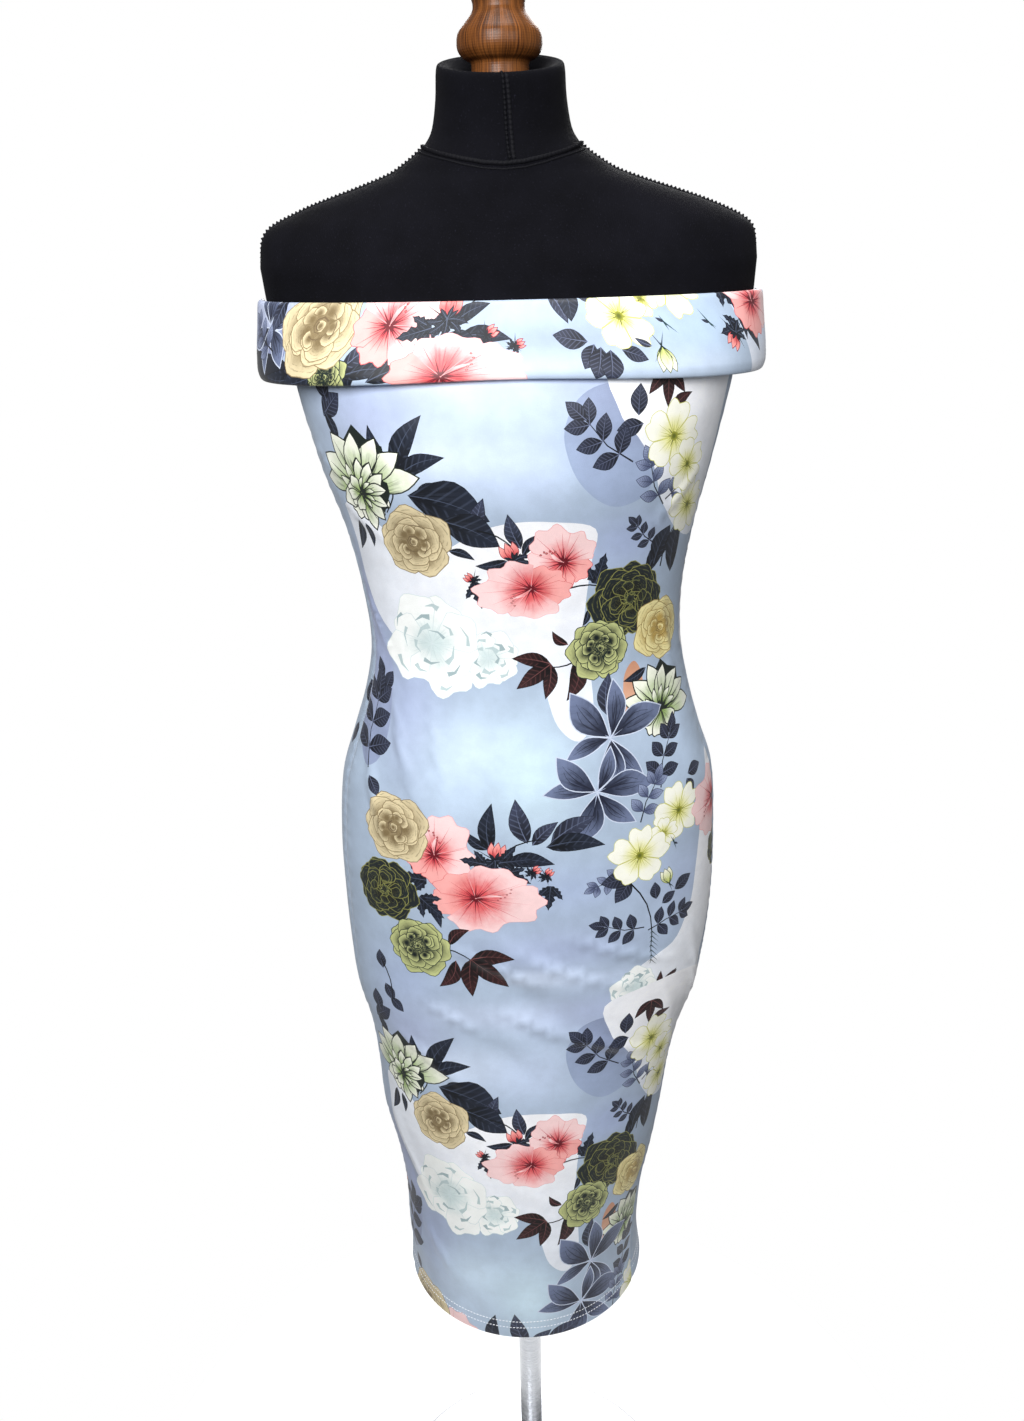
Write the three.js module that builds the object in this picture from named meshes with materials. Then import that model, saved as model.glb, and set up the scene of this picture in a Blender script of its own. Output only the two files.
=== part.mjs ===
// An off-shoulder midi dress with a fold-over collar, pulled on over a limbless dress form on a pole and a round base.
// Millimetres, +Z up. The origin is the middle of the base's underside, and the dress faces -Y.

import * as THREE from 'three';

// Driving sizes
const HEM_Z = 450;
const COLLAR_TOP_Z = 1450;
const UNDERARM_Z = 1356;
const CLOTH_WALL = 1.5;
const COLLAR_WALL = 1.2;
const SEAM_GAP = 0.3;
const FORM_BOTTOM_Z = 900;
const NECK_SEAT_Z = 1601;
const POLE_RADIUS = 12.5;
const BASE_RADIUS = 180;

// How finely each piece is divided
const FRONT_COLUMNS = 24;
const BACK_COLUMNS = 20;
const COLLAR_COLUMNS = 22;
const ROUND_COLUMNS = 24;
const SKIRT_ROWS = 10;
const TORSO_ROWS = 13;
const ARMHOLE_ROWS = 6;

// Outside of the dress by height: half width, depth before and behind the pole's axis, the power that squares
// the section, how far it leans to +X, the ease down to the form, and the angles of its two side seams
const DRESS_COLUMNS = ['z', 'half', 'front', 'back', 'power', 'lean', 'ease', 'left', 'right'];
const DRESS_ROWS = [
  [450, 126, 126, 126, 2.0, -2, 0.8, -78, 64],
  [480, 123.4, 124.5, 124.5, 2.0, -3, 0.8, -78, 66],
  [508, 123.8, 123.5, 123.5, 2.0, -4, 0.8, -78, 68],
  [564, 126.4, 121, 121, 2.0, -2, 0.8, -78, 71],
  [618, 135.1, 118, 119, 2.0, 0, 0.8, -78, 74],
  [670, 144, 115, 118, 2.05, -1, 0.8, -78, 76],
  [721, 148.5, 112, 117, 2.1, 1, 0.8, -78, 78],
  [770, 155.9, 110, 117, 2.15, 4, 0.8, -78, 80],
  [818, 168.2, 109, 118, 2.2, 6, 0.8, -78, 81],
  [865, 173.6, 109, 120, 2.2, 8, 0.8, -78, 82],
  [917, 176, 109, 122, 2.2, 9, 0.8, -78, 82],
  [975, 175.5, 109, 121, 2.2, 9, 0.8, -78, 82],
  [1038, 170.2, 107, 112, 2.2, 10, 0.8, -78, 82],
  [1078, 157.3, 104, 101, 2.18, 10, 1.2, -78, 82],
  [1118, 145.2, 98, 88, 2.15, 11, 2, -78, 82],
  [1160, 137.5, 94, 79, 2.1, 11, 3, -78, 82],
  [1211, 139.2, 99, 82, 2.15, 9, 2.5, -78, 82],
  [1265, 148.2, 112, 88, 2.2, 8, 1.2, -78, 82],
  [1316, 161.5, 129, 95, 2.3, 6, 0.8, -78, 82],
  [1356, 170.8, 132, 101, 2.35, 5.5, 1.2, -78, 82],
  [1376, 176, 130, 104, 2.35, 5, 2, -78, 82],
  [1400, 184, 123, 107, 2.35, 4, 3, -78, 82],
  [1420, 190, 114, 108, 2.35, 4, 3, -78, 82],
  [1450, 196.9, 99, 105, 2.3, 3.5, 1, -78, 82],
];

// Bare shoulders and neck of the form above the collar, in the same terms, with the tilt that its top takes
const SHOULDER_COLUMNS = ['z', 'half', 'front', 'back', 'power', 'lean', 'tilt'];
const SHOULDER_ROWS = [
  [1473, 196.7, 88, 100, 2.25, 3, 0],
  [1488, 195.2, 80, 96, 2.15, 3, 0],
  [1496, 192.6, 76, 93, 2.05, 3, 0],
  [1503, 184.6, 73, 91, 1.95, 2.5, 0],
  [1510, 169.6, 70, 88, 1.85, 2.5, 0],
  [1517, 151.8, 67, 85, 1.8, 2, 0],
  [1524, 130.3, 64, 81, 1.8, 2, 0],
  [1531.5, 107, 61, 77, 1.85, 1.5, 0],
  [1538.5, 88.1, 58, 72, 1.9, 1, 0],
  [1546, 75.4, 56, 67, 1.95, 0.5, 0],
  [1553, 65.6, 54, 62, 2, 0, 0.1],
  [1560, 58.9, 52.5, 57, 2, 0, 0.2],
  [1570, 53.5, 51, 52, 2, 0, 0.4],
  [1590, 50, 49.5, 48.5, 2, 0, 0.8],
  [1610, 48.7, 48.7, 47.5, 2, 0, 1],
  [1614, 46, 46, 45, 2, 0, 1],
  [1613, 41, 41, 40, 2, 0, 1],
];
const NECK_TILT = 14;
const NECK_SEAT_RADIUS = 27;

// The form's rounded bottom edge: how far up each ring is, and how far in from the form's side
const FORM_EDGE = [[0, 10], [3, 4], [10, 1]];
const FORM_EDGE_TOP = 12;

// Largest folds of the skirt and waist: where each starts and ends as an angle from the front and a height,
// its half width, and how far it stands out, or sinks in where negative
const FOLD_COLUMNS = ['startAngle', 'startZ', 'endAngle', 'endZ', 'spread', 'rise'];
const FOLD_ROWS = [
  [-30, 925, 38, 832, 24, 3],
  [-26, 880, 30, 806, 20, -2.5],
  [50, 935, 78, 805, 22, 3],
  [-58, 1180, -50, 1030, 20, 2.5],
  [-20, 822, 18, 764, 22, 2.5],
  [58, 1160, 52, 1080, 20, 2],
  [150, 1230, 212, 1188, 18, 3],
  [148, 1180, 214, 1140, 18, 2.5],
  [150, 900, 205, 830, 24, 3],
  [-128, 820, -150, 700, 24, 3],
];
const FOLD_RADIUS = 140;

// The collar's cut: how far each point of its middle line stands off the bodice, and how far below the top it is
const COLLAR_PROFILE_COLUMNS = ['offset', 'drop'];
const COLLAR_INNER_DROP = 9;
const COLLAR_PROFILE = [
  [-CLOTH_WALL / 2, COLLAR_INNER_DROP],
  [-CLOTH_WALL / 2, 3],
  [-0.1, 1.2],
  [1.3, 0.6],
  [2.8, 1.8],
  [3.6, 6],
  [4.5, 18],
  [5.3, 32],
  [6.3, 44],
  [6.5, 50],
  [5.4, 54.6],
  [3.4, 55.4],
  [1.9, 52],
  [1.6, 44],
  [1.8, 28],
  [1.6, 13],
];
const COLLAR_HALF_WIDTH = 197.6;
const COLLAR_STRETCH_FROM = 12;
const COLLAR_DROP_AT_FRONT = 0.93;
const COLLAR_DROP_AT_SIDES = 1.08;
const COLLAR_DROP_AT_BACK = 1.08;
const COLLAR_BACK_DIP = 30;
const BODICE_TOP_Z = COLLAR_TOP_Z - COLLAR_INNER_DROP - SEAM_GAP;
const ARMHOLE_FROM_ANGLE = 62;
const ARMHOLE_CURVE = 1.2;
const ARMHOLE_ROWS_FROM_Z = 1300;

// The finial as radius and height above its seat: foot ring, wide bulb, waist, bead and round knob
const FINIAL_PROFILE = [
  [0, 0], [20, 0], [22, 2], [22, 12], [27, 15], [31.5, 20], [32.5, 26], [31.2, 32.5], [26, 39], [21, 45],
  [19.6, 49.5], [20.5, 54], [23, 57], [23, 60], [17, 64], [17, 66], [21.5, 71], [24.5, 78], [25, 84], [22.5, 92],
  [16, 99.5], [8, 103.5], [0, 104.5],
];

// The foot as radius and height, from the middle of its underside to the rim of its socket
const SOCKET_FLOOR_Z = 20;
const SOCKET_TOP_Z = 60;
const SOCKET_RADIUS = 22;
const BASE_PROFILE = [
  [0, 0], [BASE_RADIUS - 2, 0], [BASE_RADIUS, 2], [BASE_RADIUS, 10], [BASE_RADIUS - 4, 14], [BASE_RADIUS - 60, 18],
  [34, 22], [26, 26], [24, 34], [24, 58],
];

// Sections are spaced in an ellipse's own angle, closer at the sides, where they turn most
const SECTION_FLATNESS = 1.35;

const RAD = Math.PI / 180;

function mix(a, b, t) {
  return a + (b - a) * t;
}

// Turns a table of rows into records by column name
function readTable(columns, rows) {
  return rows.map((row) => Object.fromEntries(columns.map((name, i) => [name, row[i]])));
}

const DRESS = readTable(DRESS_COLUMNS, DRESS_ROWS);
const SHOULDERS = readTable(SHOULDER_COLUMNS, SHOULDER_ROWS);
const FOLDS = readTable(FOLD_COLUMNS, FOLD_ROWS);
const PROFILE = readTable(COLLAR_PROFILE_COLUMNS, COLLAR_PROFILE);

// One column's slope at a row, from the rows on its two sides
function slopeAt(rows, i, name) {
  const a = rows[Math.max(i - 1, 0)];
  const b = rows[Math.min(i + 1, rows.length - 1)];
  return (b[name] - a[name]) / (b.z - a.z);
}

// A whole section at any height, on a smooth curve through the rows
function sectionAt(rows, columns, z) {
  const above = rows.findIndex((row) => row.z > z);
  const i = above < 0 ? rows.length - 2 : Math.max(above - 1, 0);
  const a = rows[i];
  const b = rows[i + 1];
  const step = b.z - a.z;
  const t = Math.min(Math.max((z - a.z) / step, 0), 1);
  const section = { z };
  for (const name of columns.slice(1)) {
    const leave = slopeAt(rows, i, name) * step;
    const arrive = slopeAt(rows, i + 1, name) * step;
    const towards = 3 * t ** 2 - 2 * t ** 3;
    section[name] = mix(a[name], b[name], towards) + (t ** 3 - 2 * t ** 2 + t) * leave + (t ** 3 - t ** 2) * arrive;
  }
  return section;
}

// A section's point in a direction from its middle, 0 at the front and 90 at +X
function sectionPoint(section, angle) {
  const across = Math.sin(angle * RAD);
  const ahead = Math.cos(angle * RAD);
  const depth = ahead > 0 ? section.front : section.back;
  const sum = (Math.abs(across) / section.half) ** section.power + (Math.abs(ahead) / depth) ** section.power;
  const reach = sum ** (-1 / section.power);
  return new THREE.Vector3(section.lean + reach * across, -reach * ahead, section.z);
}

// Evenly spaced directions between two, closer where the section turns most
function directionBetween(from, to, t) {
  const toEllipse = (angle) => Math.atan2(Math.sin(angle * RAD) / SECTION_FLATNESS, Math.cos(angle * RAD)) / RAD;
  const start = toEllipse(from);
  let end = toEllipse(to);
  if (end <= start) end += 360;
  const at = mix(start, end, t) * RAD;
  return Math.atan2(Math.sin(at) * SECTION_FLATNESS, Math.cos(at)) / RAD;
}

// How far the folds lift the cloth at a place
function foldRise(angle, z) {
  let rise = 0;
  for (const fold of FOLDS) {
    const turn = fold.startAngle > 90 && angle < 0 ? angle + 360 : angle;
    const alongX = (fold.endAngle - fold.startAngle) * RAD * FOLD_RADIUS;
    const alongZ = fold.endZ - fold.startZ;
    const x = (turn - fold.startAngle) * RAD * FOLD_RADIUS;
    const up = z - fold.startZ;
    const length = Math.hypot(alongX, alongZ);
    const along = (x * alongX + up * alongZ) / length ** 2;
    const aside = Math.abs(x * alongZ - up * alongX) / length / fold.spread;
    if (along <= 0 || along >= 1 || aside >= 1) continue;
    rise += fold.rise * Math.sin(Math.PI * along) * Math.cos(aside * Math.PI / 2) ** 2;
  }
  return rise;
}

function dressPoint(angle, z) {
  return sectionPoint(sectionAt(DRESS, DRESS_COLUMNS, z), angle);
}

// The way out of a surface at a direction and height, from its neighbours
function outward(surface, angle, z) {
  const reach = 1;
  const sideways = surface(angle + reach, z).sub(surface(angle - reach, z));
  const upward = surface(angle, z + reach).sub(surface(angle, z - reach));
  return sideways.cross(upward).normalize();
}

// A cloth point: on the dress's outer surface, moved out along its normal
function clothPoint(angle, z, out) {
  const normal = outward(dressPoint, angle, z);
  return dressPoint(angle, z).addScaledVector(normal, out + foldRise(angle, z));
}

// Gathers points and faces into one closed geometry
class Solid {
  constructor() {
    this.points = [];
    this.faces = [];
  }

  add(point) {
    this.points.push(point.x, point.y, point.z);
    return this.points.length / 3 - 1;
  }

  quad(a, b, c, d) {
    this.faces.push(a, b, c, a, c, d);
  }

  geometry() {
    const geometry = new THREE.BufferGeometry();
    geometry.setAttribute('position', new THREE.Float32BufferAttribute(this.points, 3));
    geometry.setIndex(this.faces);
    geometry.computeVertexNormals();
    return geometry;
  }
}

// A wall between two grids of points, outer and inner, closed round its four edges
function wallGeometry(columns, rows, outerAt, innerAt) {
  const solid = new Solid();
  const grid = (at) => Array.from({ length: columns + 1 }, (_, i) => (
    Array.from({ length: rows + 1 }, (__, j) => solid.add(at(i, j)))));
  const outer = grid(outerAt);
  const inner = grid(innerAt);
  for (let i = 0; i < columns; i += 1) {
    for (let j = 0; j < rows; j += 1) {
      solid.quad(outer[i][j], outer[i + 1][j], outer[i + 1][j + 1], outer[i][j + 1]);
      solid.quad(inner[i][j], inner[i][j + 1], inner[i + 1][j + 1], inner[i + 1][j]);
    }
    solid.quad(outer[i][0], inner[i][0], inner[i + 1][0], outer[i + 1][0]);
    solid.quad(outer[i][rows], outer[i + 1][rows], inner[i + 1][rows], inner[i][rows]);
  }
  for (let j = 0; j < rows; j += 1) {
    solid.quad(outer[0][j], outer[0][j + 1], inner[0][j + 1], inner[0][j]);
    solid.quad(outer[columns][j], inner[columns][j], inner[columns][j + 1], outer[columns][j + 1]);
  }
  return solid.geometry();
}

// Heights of the rows that the dress and the form share
function sharedHeights() {
  const heights = [];
  const stretch = (from, to, steps) => {
    for (let i = 0; i < steps; i += 1) heights.push(mix(from, to, i / steps));
  };
  stretch(HEM_Z, FORM_BOTTOM_Z, SKIRT_ROWS);
  stretch(FORM_BOTTOM_Z, ARMHOLE_ROWS_FROM_Z, TORSO_ROWS);
  stretch(ARMHOLE_ROWS_FROM_Z, BODICE_TOP_Z, ARMHOLE_ROWS);
  heights.push(BODICE_TOP_Z);
  return heights;
}
const HEIGHTS = sharedHeights();

// How far the collar and the top edge sink behind the shoulders, quickly at first and level across the back
function backDip(angle) {
  const behind = Math.max(Math.abs(angle) - 90, 0);
  return COLLAR_BACK_DIP * Math.sin(Math.min(2 * behind, 90) * RAD);
}

// The top edge of a panel, which drops from the collar to the underarm at each side
function panelTop(angle, leftSeam, rightSeam) {
  const fromMiddle = Math.abs(angle) > 90 ? 180 - Math.abs(angle) : Math.abs(angle);
  const seam = angle < 0 ? -leftSeam : rightSeam;
  const seamFromMiddle = Math.abs(angle) > seam ? 180 - seam : seam;
  const t = Math.min(Math.max((fromMiddle - ARMHOLE_FROM_ANGLE) / (seamFromMiddle - ARMHOLE_FROM_ANGLE), 0), 1);
  return mix(BODICE_TOP_Z - backDip(angle), UNDERARM_Z, t ** ARMHOLE_CURVE);
}

// A panel of the dress between its two side seams; behind says that it is the back one
function panelGeometry(columns, behind) {
  const place = (i, j, out) => {
    const section = sectionAt(DRESS, DRESS_COLUMNS, HEIGHTS[j]);
    const from = behind ? section.right : section.left;
    const to = behind ? section.left : section.right;
    const angle = directionBetween(from, to, i / columns);
    const top = panelTop(angle, section.left, section.right);
    const above = Math.max(HEIGHTS[j] - ARMHOLE_ROWS_FROM_Z, 0) / (BODICE_TOP_Z - ARMHOLE_ROWS_FROM_Z);
    const z = above > 0 ? mix(ARMHOLE_ROWS_FROM_Z, top, above) : HEIGHTS[j];
    const point = clothPoint(angle, z, out);
    // the seam's own gap, half from each panel, along the section
    const edge = i === 0 ? 1 : i === columns ? -1 : 0;
    if (edge) {
      const along = dressPoint(angle + edge, z).sub(dressPoint(angle, z)).normalize();
      point.addScaledVector(along, SEAM_GAP / 2);
    }
    return point;
  };
  return wallGeometry(columns, HEIGHTS.length - 1, (i, j) => place(i, j, 0), (i, j) => place(i, j, -CLOTH_WALL));
}

// The surface that the collar hangs on: the chest and back, but as wide as the shoulder caps all the way down
function collarBase(angle, z) {
  const section = sectionAt(DRESS, DRESS_COLUMNS, z);
  section.half = COLLAR_HALF_WIDTH;
  section.lean = DRESS[DRESS.length - 1].lean;
  return sectionPoint(section, angle);
}

// How much deeper the collar hangs in a direction than its profile says
function collarStretch(angle) {
  const ahead = Math.cos(angle * RAD);
  const middle = ahead > 0 ? COLLAR_DROP_AT_FRONT : COLLAR_DROP_AT_BACK;
  return mix(COLLAR_DROP_AT_SIDES, middle, ahead ** 2);
}

// The profile's outer and inner points, half a wall to each side of its middle line
function collarOutline() {
  const half = COLLAR_WALL / 2;
  const sides = PROFILE.map((point, i) => {
    const a = PROFILE[Math.max(i - 1, 0)];
    const b = PROFILE[Math.min(i + 1, PROFILE.length - 1)];
    const length = Math.hypot(b.offset - a.offset, b.drop - a.drop);
    const aside = { offset: (a.drop - b.drop) / length * half, drop: (b.offset - a.offset) / length * half };
    return {
      left: { offset: point.offset + aside.offset, drop: point.drop + aside.drop },
      right: { offset: point.offset - aside.offset, drop: point.drop - aside.drop },
    };
  });
  return sides;
}

function collarGeometry(from, to) {
  const outline = collarOutline();
  const place = (i, side) => {
    const angle = directionBetween(from, to, i / COLLAR_COLUMNS);
    const deep = Math.max(side.drop - COLLAR_STRETCH_FROM, 0);
    const z = COLLAR_TOP_Z - backDip(angle) - side.drop + deep - deep * collarStretch(angle);
    const level = outward(collarBase, angle, z).setZ(0).normalize();
    const point = collarBase(angle, z).addScaledVector(level, side.offset);
    if (i === 0 || i === COLLAR_COLUMNS) point.y += (from < to ? -1 : 1) * SEAM_GAP / 2;
    return point;
  };
  const outer = (i, j) => place(i, outline[j].left);
  const inner = (i, j) => place(i, outline[j].right);
  return wallGeometry(COLLAR_COLUMNS, outline.length - 1, outer, inner);
}

// A closed body through rings of points, lowest first, with a flat cap at each end
function loftGeometry(rings) {
  const solid = new Solid();
  const loops = rings.map((ring) => ring.map((point) => solid.add(point)));
  const count = rings[0].length;
  for (let j = 0; j < loops.length - 1; j += 1) {
    for (let i = 0; i < count; i += 1) {
      const next = (i + 1) % count;
      solid.quad(loops[j][i], loops[j][next], loops[j + 1][next], loops[j + 1][i]);
    }
  }
  const cap = (loop, ring, upward) => {
    const middle = ring.reduce((sum, p) => sum.add(p), new THREE.Vector3()).divideScalar(count);
    const centre = solid.add(middle);
    for (let i = 0; i < count; i += 1) {
      const next = (i + 1) % count;
      solid.faces.push(centre, loop[upward ? i : next], loop[upward ? next : i]);
    }
  };
  cap(loops[0], rings[0], false);
  cap(loops[loops.length - 1], rings[rings.length - 1], true);
  return solid.geometry();
}

// Directions all round the form, the same as the two panels' columns, so that their facets lie along each other
function formDirections() {
  const { left, right } = DRESS[DRESS.length - 1];
  const front = Array.from({ length: FRONT_COLUMNS }, (_, i) => directionBetween(left, right, i / FRONT_COLUMNS));
  const back = Array.from({ length: BACK_COLUMNS }, (_, i) => directionBetween(right, left, i / BACK_COLUMNS));
  return [...front, ...back];
}

// The torso inside the dress, drawn in from it by the cloth's wall and its ease
function torsoRings() {
  const ring = (z, extra) => formDirections().map((angle) => {
    const section = sectionAt(DRESS, DRESS_COLUMNS, z);
    const inward = CLOTH_WALL + section.ease + extra;
    return dressPoint(angle, z).addScaledVector(outward(dressPoint, angle, z).setZ(0).normalize(), -inward);
  });
  const bottom = FORM_EDGE.map(([up, extra]) => ring(FORM_BOTTOM_Z + up, extra));
  const levels = HEIGHTS.filter((z) => z > FORM_BOTTOM_Z + FORM_EDGE_TOP);
  return [...bottom, ...levels.map((z) => ring(z, 0)), ring(COLLAR_TOP_Z, 0)];
}

// The shoulders and neck, whose top edge tilts forward round the seat of the finial
function neckRings() {
  const rings = SHOULDERS.map((section) => formDirections().map((angle) => {
    const point = sectionPoint(section, angle);
    point.z += point.y * Math.tan(NECK_TILT * RAD) * section.tilt;
    return point;
  }));
  const seat = formDirections().map((angle) => new THREE.Vector3(
    NECK_SEAT_RADIUS * Math.sin(angle * RAD),
    -NECK_SEAT_RADIUS * Math.cos(angle * RAD),
    NECK_SEAT_Z,
  ));
  return [...rings, seat];
}

function formGeometry() {
  return loftGeometry([...torsoRings(), ...neckRings()]);
}

// A turned piece from its radius and height pairs, bottom to top
function turnedGeometry(profile) {
  const points = profile.map(([radius, z]) => new THREE.Vector2(radius, z));
  return new THREE.LatheGeometry(points, ROUND_COLUMNS).rotateX(Math.PI / 2);
}

function finialGeometry() {
  const seat = NECK_SEAT_Z + SEAM_GAP;
  return turnedGeometry(FINIAL_PROFILE.map(([radius, up]) => [radius, seat + up]));
}

// The foot: a low dome with an upstanding socket that the pole drops into
function baseGeometry() {
  const bore = POLE_RADIUS + SEAM_GAP;
  const socket = [[SOCKET_RADIUS, SOCKET_TOP_Z], [bore, SOCKET_TOP_Z], [bore, SOCKET_FLOOR_Z], [0, SOCKET_FLOOR_Z]];
  return turnedGeometry([...BASE_PROFILE, ...socket]);
}

function poleGeometry() {
  const bottom = SOCKET_FLOOR_Z + SEAM_GAP;
  const top = FORM_BOTTOM_Z - SEAM_GAP;
  return turnedGeometry([[0, bottom], [POLE_RADIUS, bottom], [POLE_RADIUS, top], [0, top]]);
}

// Materials
const PRINTED_JERSEY = new THREE.MeshStandardMaterial({ color: 0xb4c3dc, roughness: 0.62, metalness: 0 });
const BLACK_JERSEY = new THREE.MeshStandardMaterial({ color: 0x1b1b1f, roughness: 0.9, metalness: 0 });
const STAINED_WOOD = new THREE.MeshStandardMaterial({ color: 0x7a4a26, roughness: 0.35, metalness: 0 });
const SATIN_STEEL = new THREE.MeshStandardMaterial({ color: 0xb9bcc0, roughness: 0.3, metalness: 1 });

const assembly = new THREE.Group();

function place(name, geometry, material) {
  const mesh = new THREE.Mesh(geometry, material);
  mesh.name = name;
  assembly.add(mesh);
}

place('front_panel', panelGeometry(FRONT_COLUMNS, false), PRINTED_JERSEY.clone());
place('back_panel', panelGeometry(BACK_COLUMNS, true), PRINTED_JERSEY.clone());
place('collar_front', collarGeometry(-90, 90), PRINTED_JERSEY.clone());
place('collar_back', collarGeometry(90, -90), PRINTED_JERSEY.clone());
place('form_body', formGeometry(), BLACK_JERSEY.clone());
place('finial', finialGeometry(), STAINED_WOOD.clone());
place('pole', poleGeometry(), SATIN_STEEL.clone());
place('base', baseGeometry(), SATIN_STEEL.clone());

export default assembly;
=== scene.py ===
# An off-shoulder midi dress with a fold-over collar on a limbless dress form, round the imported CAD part.
# The tables are in millimetres, with the CAD's own sections. Each mesh is turned into metres as it is made.

import math
from functools import partial

import bpy
import numpy as np
from mathutils import Matrix, Vector
from mathutils.geometry import delaunay_2d_cdt


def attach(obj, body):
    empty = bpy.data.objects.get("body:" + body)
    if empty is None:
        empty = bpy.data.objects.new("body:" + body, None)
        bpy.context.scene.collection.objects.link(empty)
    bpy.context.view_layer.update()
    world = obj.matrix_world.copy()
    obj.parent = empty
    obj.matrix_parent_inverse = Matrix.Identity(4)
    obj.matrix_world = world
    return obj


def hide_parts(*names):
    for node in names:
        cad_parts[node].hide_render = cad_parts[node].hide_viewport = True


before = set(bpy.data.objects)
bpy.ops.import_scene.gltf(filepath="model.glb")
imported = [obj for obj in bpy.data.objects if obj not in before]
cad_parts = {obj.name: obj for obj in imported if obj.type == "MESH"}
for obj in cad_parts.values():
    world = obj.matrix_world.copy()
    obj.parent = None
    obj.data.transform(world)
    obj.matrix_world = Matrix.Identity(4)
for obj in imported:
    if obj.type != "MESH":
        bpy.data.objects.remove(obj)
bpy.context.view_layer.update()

RAD = math.pi / 180
MM = 0.001

# Driving sizes, as in the CAD source
HEM_Z = 450
COLLAR_TOP_Z = 1450
UNDERARM_Z = 1356
CLOTH_WALL = 1.5
COLLAR_WALL = 1.2
SEAM_GAP = 0.3
FORM_BOTTOM_Z = 900
NECK_SEAT_Z = 1601
POLE_RADIUS = 12.5
ARMHOLE_FROM_ANGLE = 62
ARMHOLE_CURVE = 1.2
COLLAR_INNER_DROP = 9
COLLAR_HALF_WIDTH = 197.6
COLLAR_STRETCH_FROM = 12
COLLAR_DROP_AT_FRONT = 0.93
COLLAR_DROP_AT_SIDES = 1.08
COLLAR_DROP_AT_BACK = 1.08
COLLAR_BACK_DIP = 30
COLLAR_SEAM_ANGLE = 90
BODICE_TOP_Z = COLLAR_TOP_Z - COLLAR_INNER_DROP - SEAM_GAP
NECK_TILT = 14
NECK_SEAT_RADIUS = 27
SECTION_FLATNESS = 1.35

# Columns of the section tables: height, half width, depth before and behind, squareness, lean to +X, and then
# the ease and the two seam angles of the dress, or the tilt of the neck
Z, HALF, FRONT, BACK, POWER, LEAN, EASE, LEFT, RIGHT = range(9)
TILT = 6
DRESS_ROWS = [
    [450, 126, 126, 126, 2.0, -2, 0.8, -78, 64],
    [480, 123.4, 124.5, 124.5, 2.0, -3, 0.8, -78, 66],
    [508, 123.8, 123.5, 123.5, 2.0, -4, 0.8, -78, 68],
    [564, 126.4, 121, 121, 2.0, -2, 0.8, -78, 71],
    [618, 135.1, 118, 119, 2.0, 0, 0.8, -78, 74],
    [670, 144, 115, 118, 2.05, -1, 0.8, -78, 76],
    [721, 148.5, 112, 117, 2.1, 1, 0.8, -78, 78],
    [770, 155.9, 110, 117, 2.15, 4, 0.8, -78, 80],
    [818, 168.2, 109, 118, 2.2, 6, 0.8, -78, 81],
    [865, 173.6, 109, 120, 2.2, 8, 0.8, -78, 82],
    [917, 176, 109, 122, 2.2, 9, 0.8, -78, 82],
    [975, 175.5, 109, 121, 2.2, 9, 0.8, -78, 82],
    [1038, 170.2, 107, 112, 2.2, 10, 0.8, -78, 82],
    [1078, 157.3, 104, 101, 2.18, 10, 1.2, -78, 82],
    [1118, 145.2, 98, 88, 2.15, 11, 2, -78, 82],
    [1160, 137.5, 94, 79, 2.1, 11, 3, -78, 82],
    [1211, 139.2, 99, 82, 2.15, 9, 2.5, -78, 82],
    [1265, 148.2, 112, 88, 2.2, 8, 1.2, -78, 82],
    [1316, 161.5, 129, 95, 2.3, 6, 0.8, -78, 82],
    [1356, 170.8, 132, 101, 2.35, 5.5, 1.2, -78, 82],
    [1376, 176, 130, 104, 2.35, 5, 2, -78, 82],
    [1400, 184, 123, 107, 2.35, 4, 3, -78, 82],
    [1420, 190, 114, 108, 2.35, 4, 3, -78, 82],
    [1450, 196.9, 99, 105, 2.3, 3.5, 1, -78, 82],
]
SHOULDER_ROWS = [
    [1473, 196.7, 88, 100, 2.25, 3, 0],
    [1488, 195.2, 80, 96, 2.15, 3, 0],
    [1496, 192.6, 76, 93, 2.05, 3, 0],
    [1503, 184.6, 73, 91, 1.95, 2.5, 0],
    [1510, 169.6, 70, 88, 1.85, 2.5, 0],
    [1517, 151.8, 67, 85, 1.8, 2, 0],
    [1524, 130.3, 64, 81, 1.8, 2, 0],
    [1531.5, 107, 61, 77, 1.85, 1.5, 0],
    [1538.5, 88.1, 58, 72, 1.9, 1, 0],
    [1546, 75.4, 56, 67, 1.95, 0.5, 0],
    [1553, 65.6, 54, 62, 2, 0, 0.1],
    [1560, 58.9, 52.5, 57, 2, 0, 0.2],
    [1570, 53.5, 51, 52, 2, 0, 0.4],
    [1590, 50, 49.5, 48.5, 2, 0, 0.8],
    [1610, 48.7, 48.7, 47.5, 2, 0, 1],
    [1614, 46, 46, 45, 2, 0, 1],
    [1613, 41, 41, 40, 2, 0, 1],
]
FORM_EDGE = [(0, 10), (1, 6.5), (3, 4), (6, 2), (10, 1)]

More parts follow.
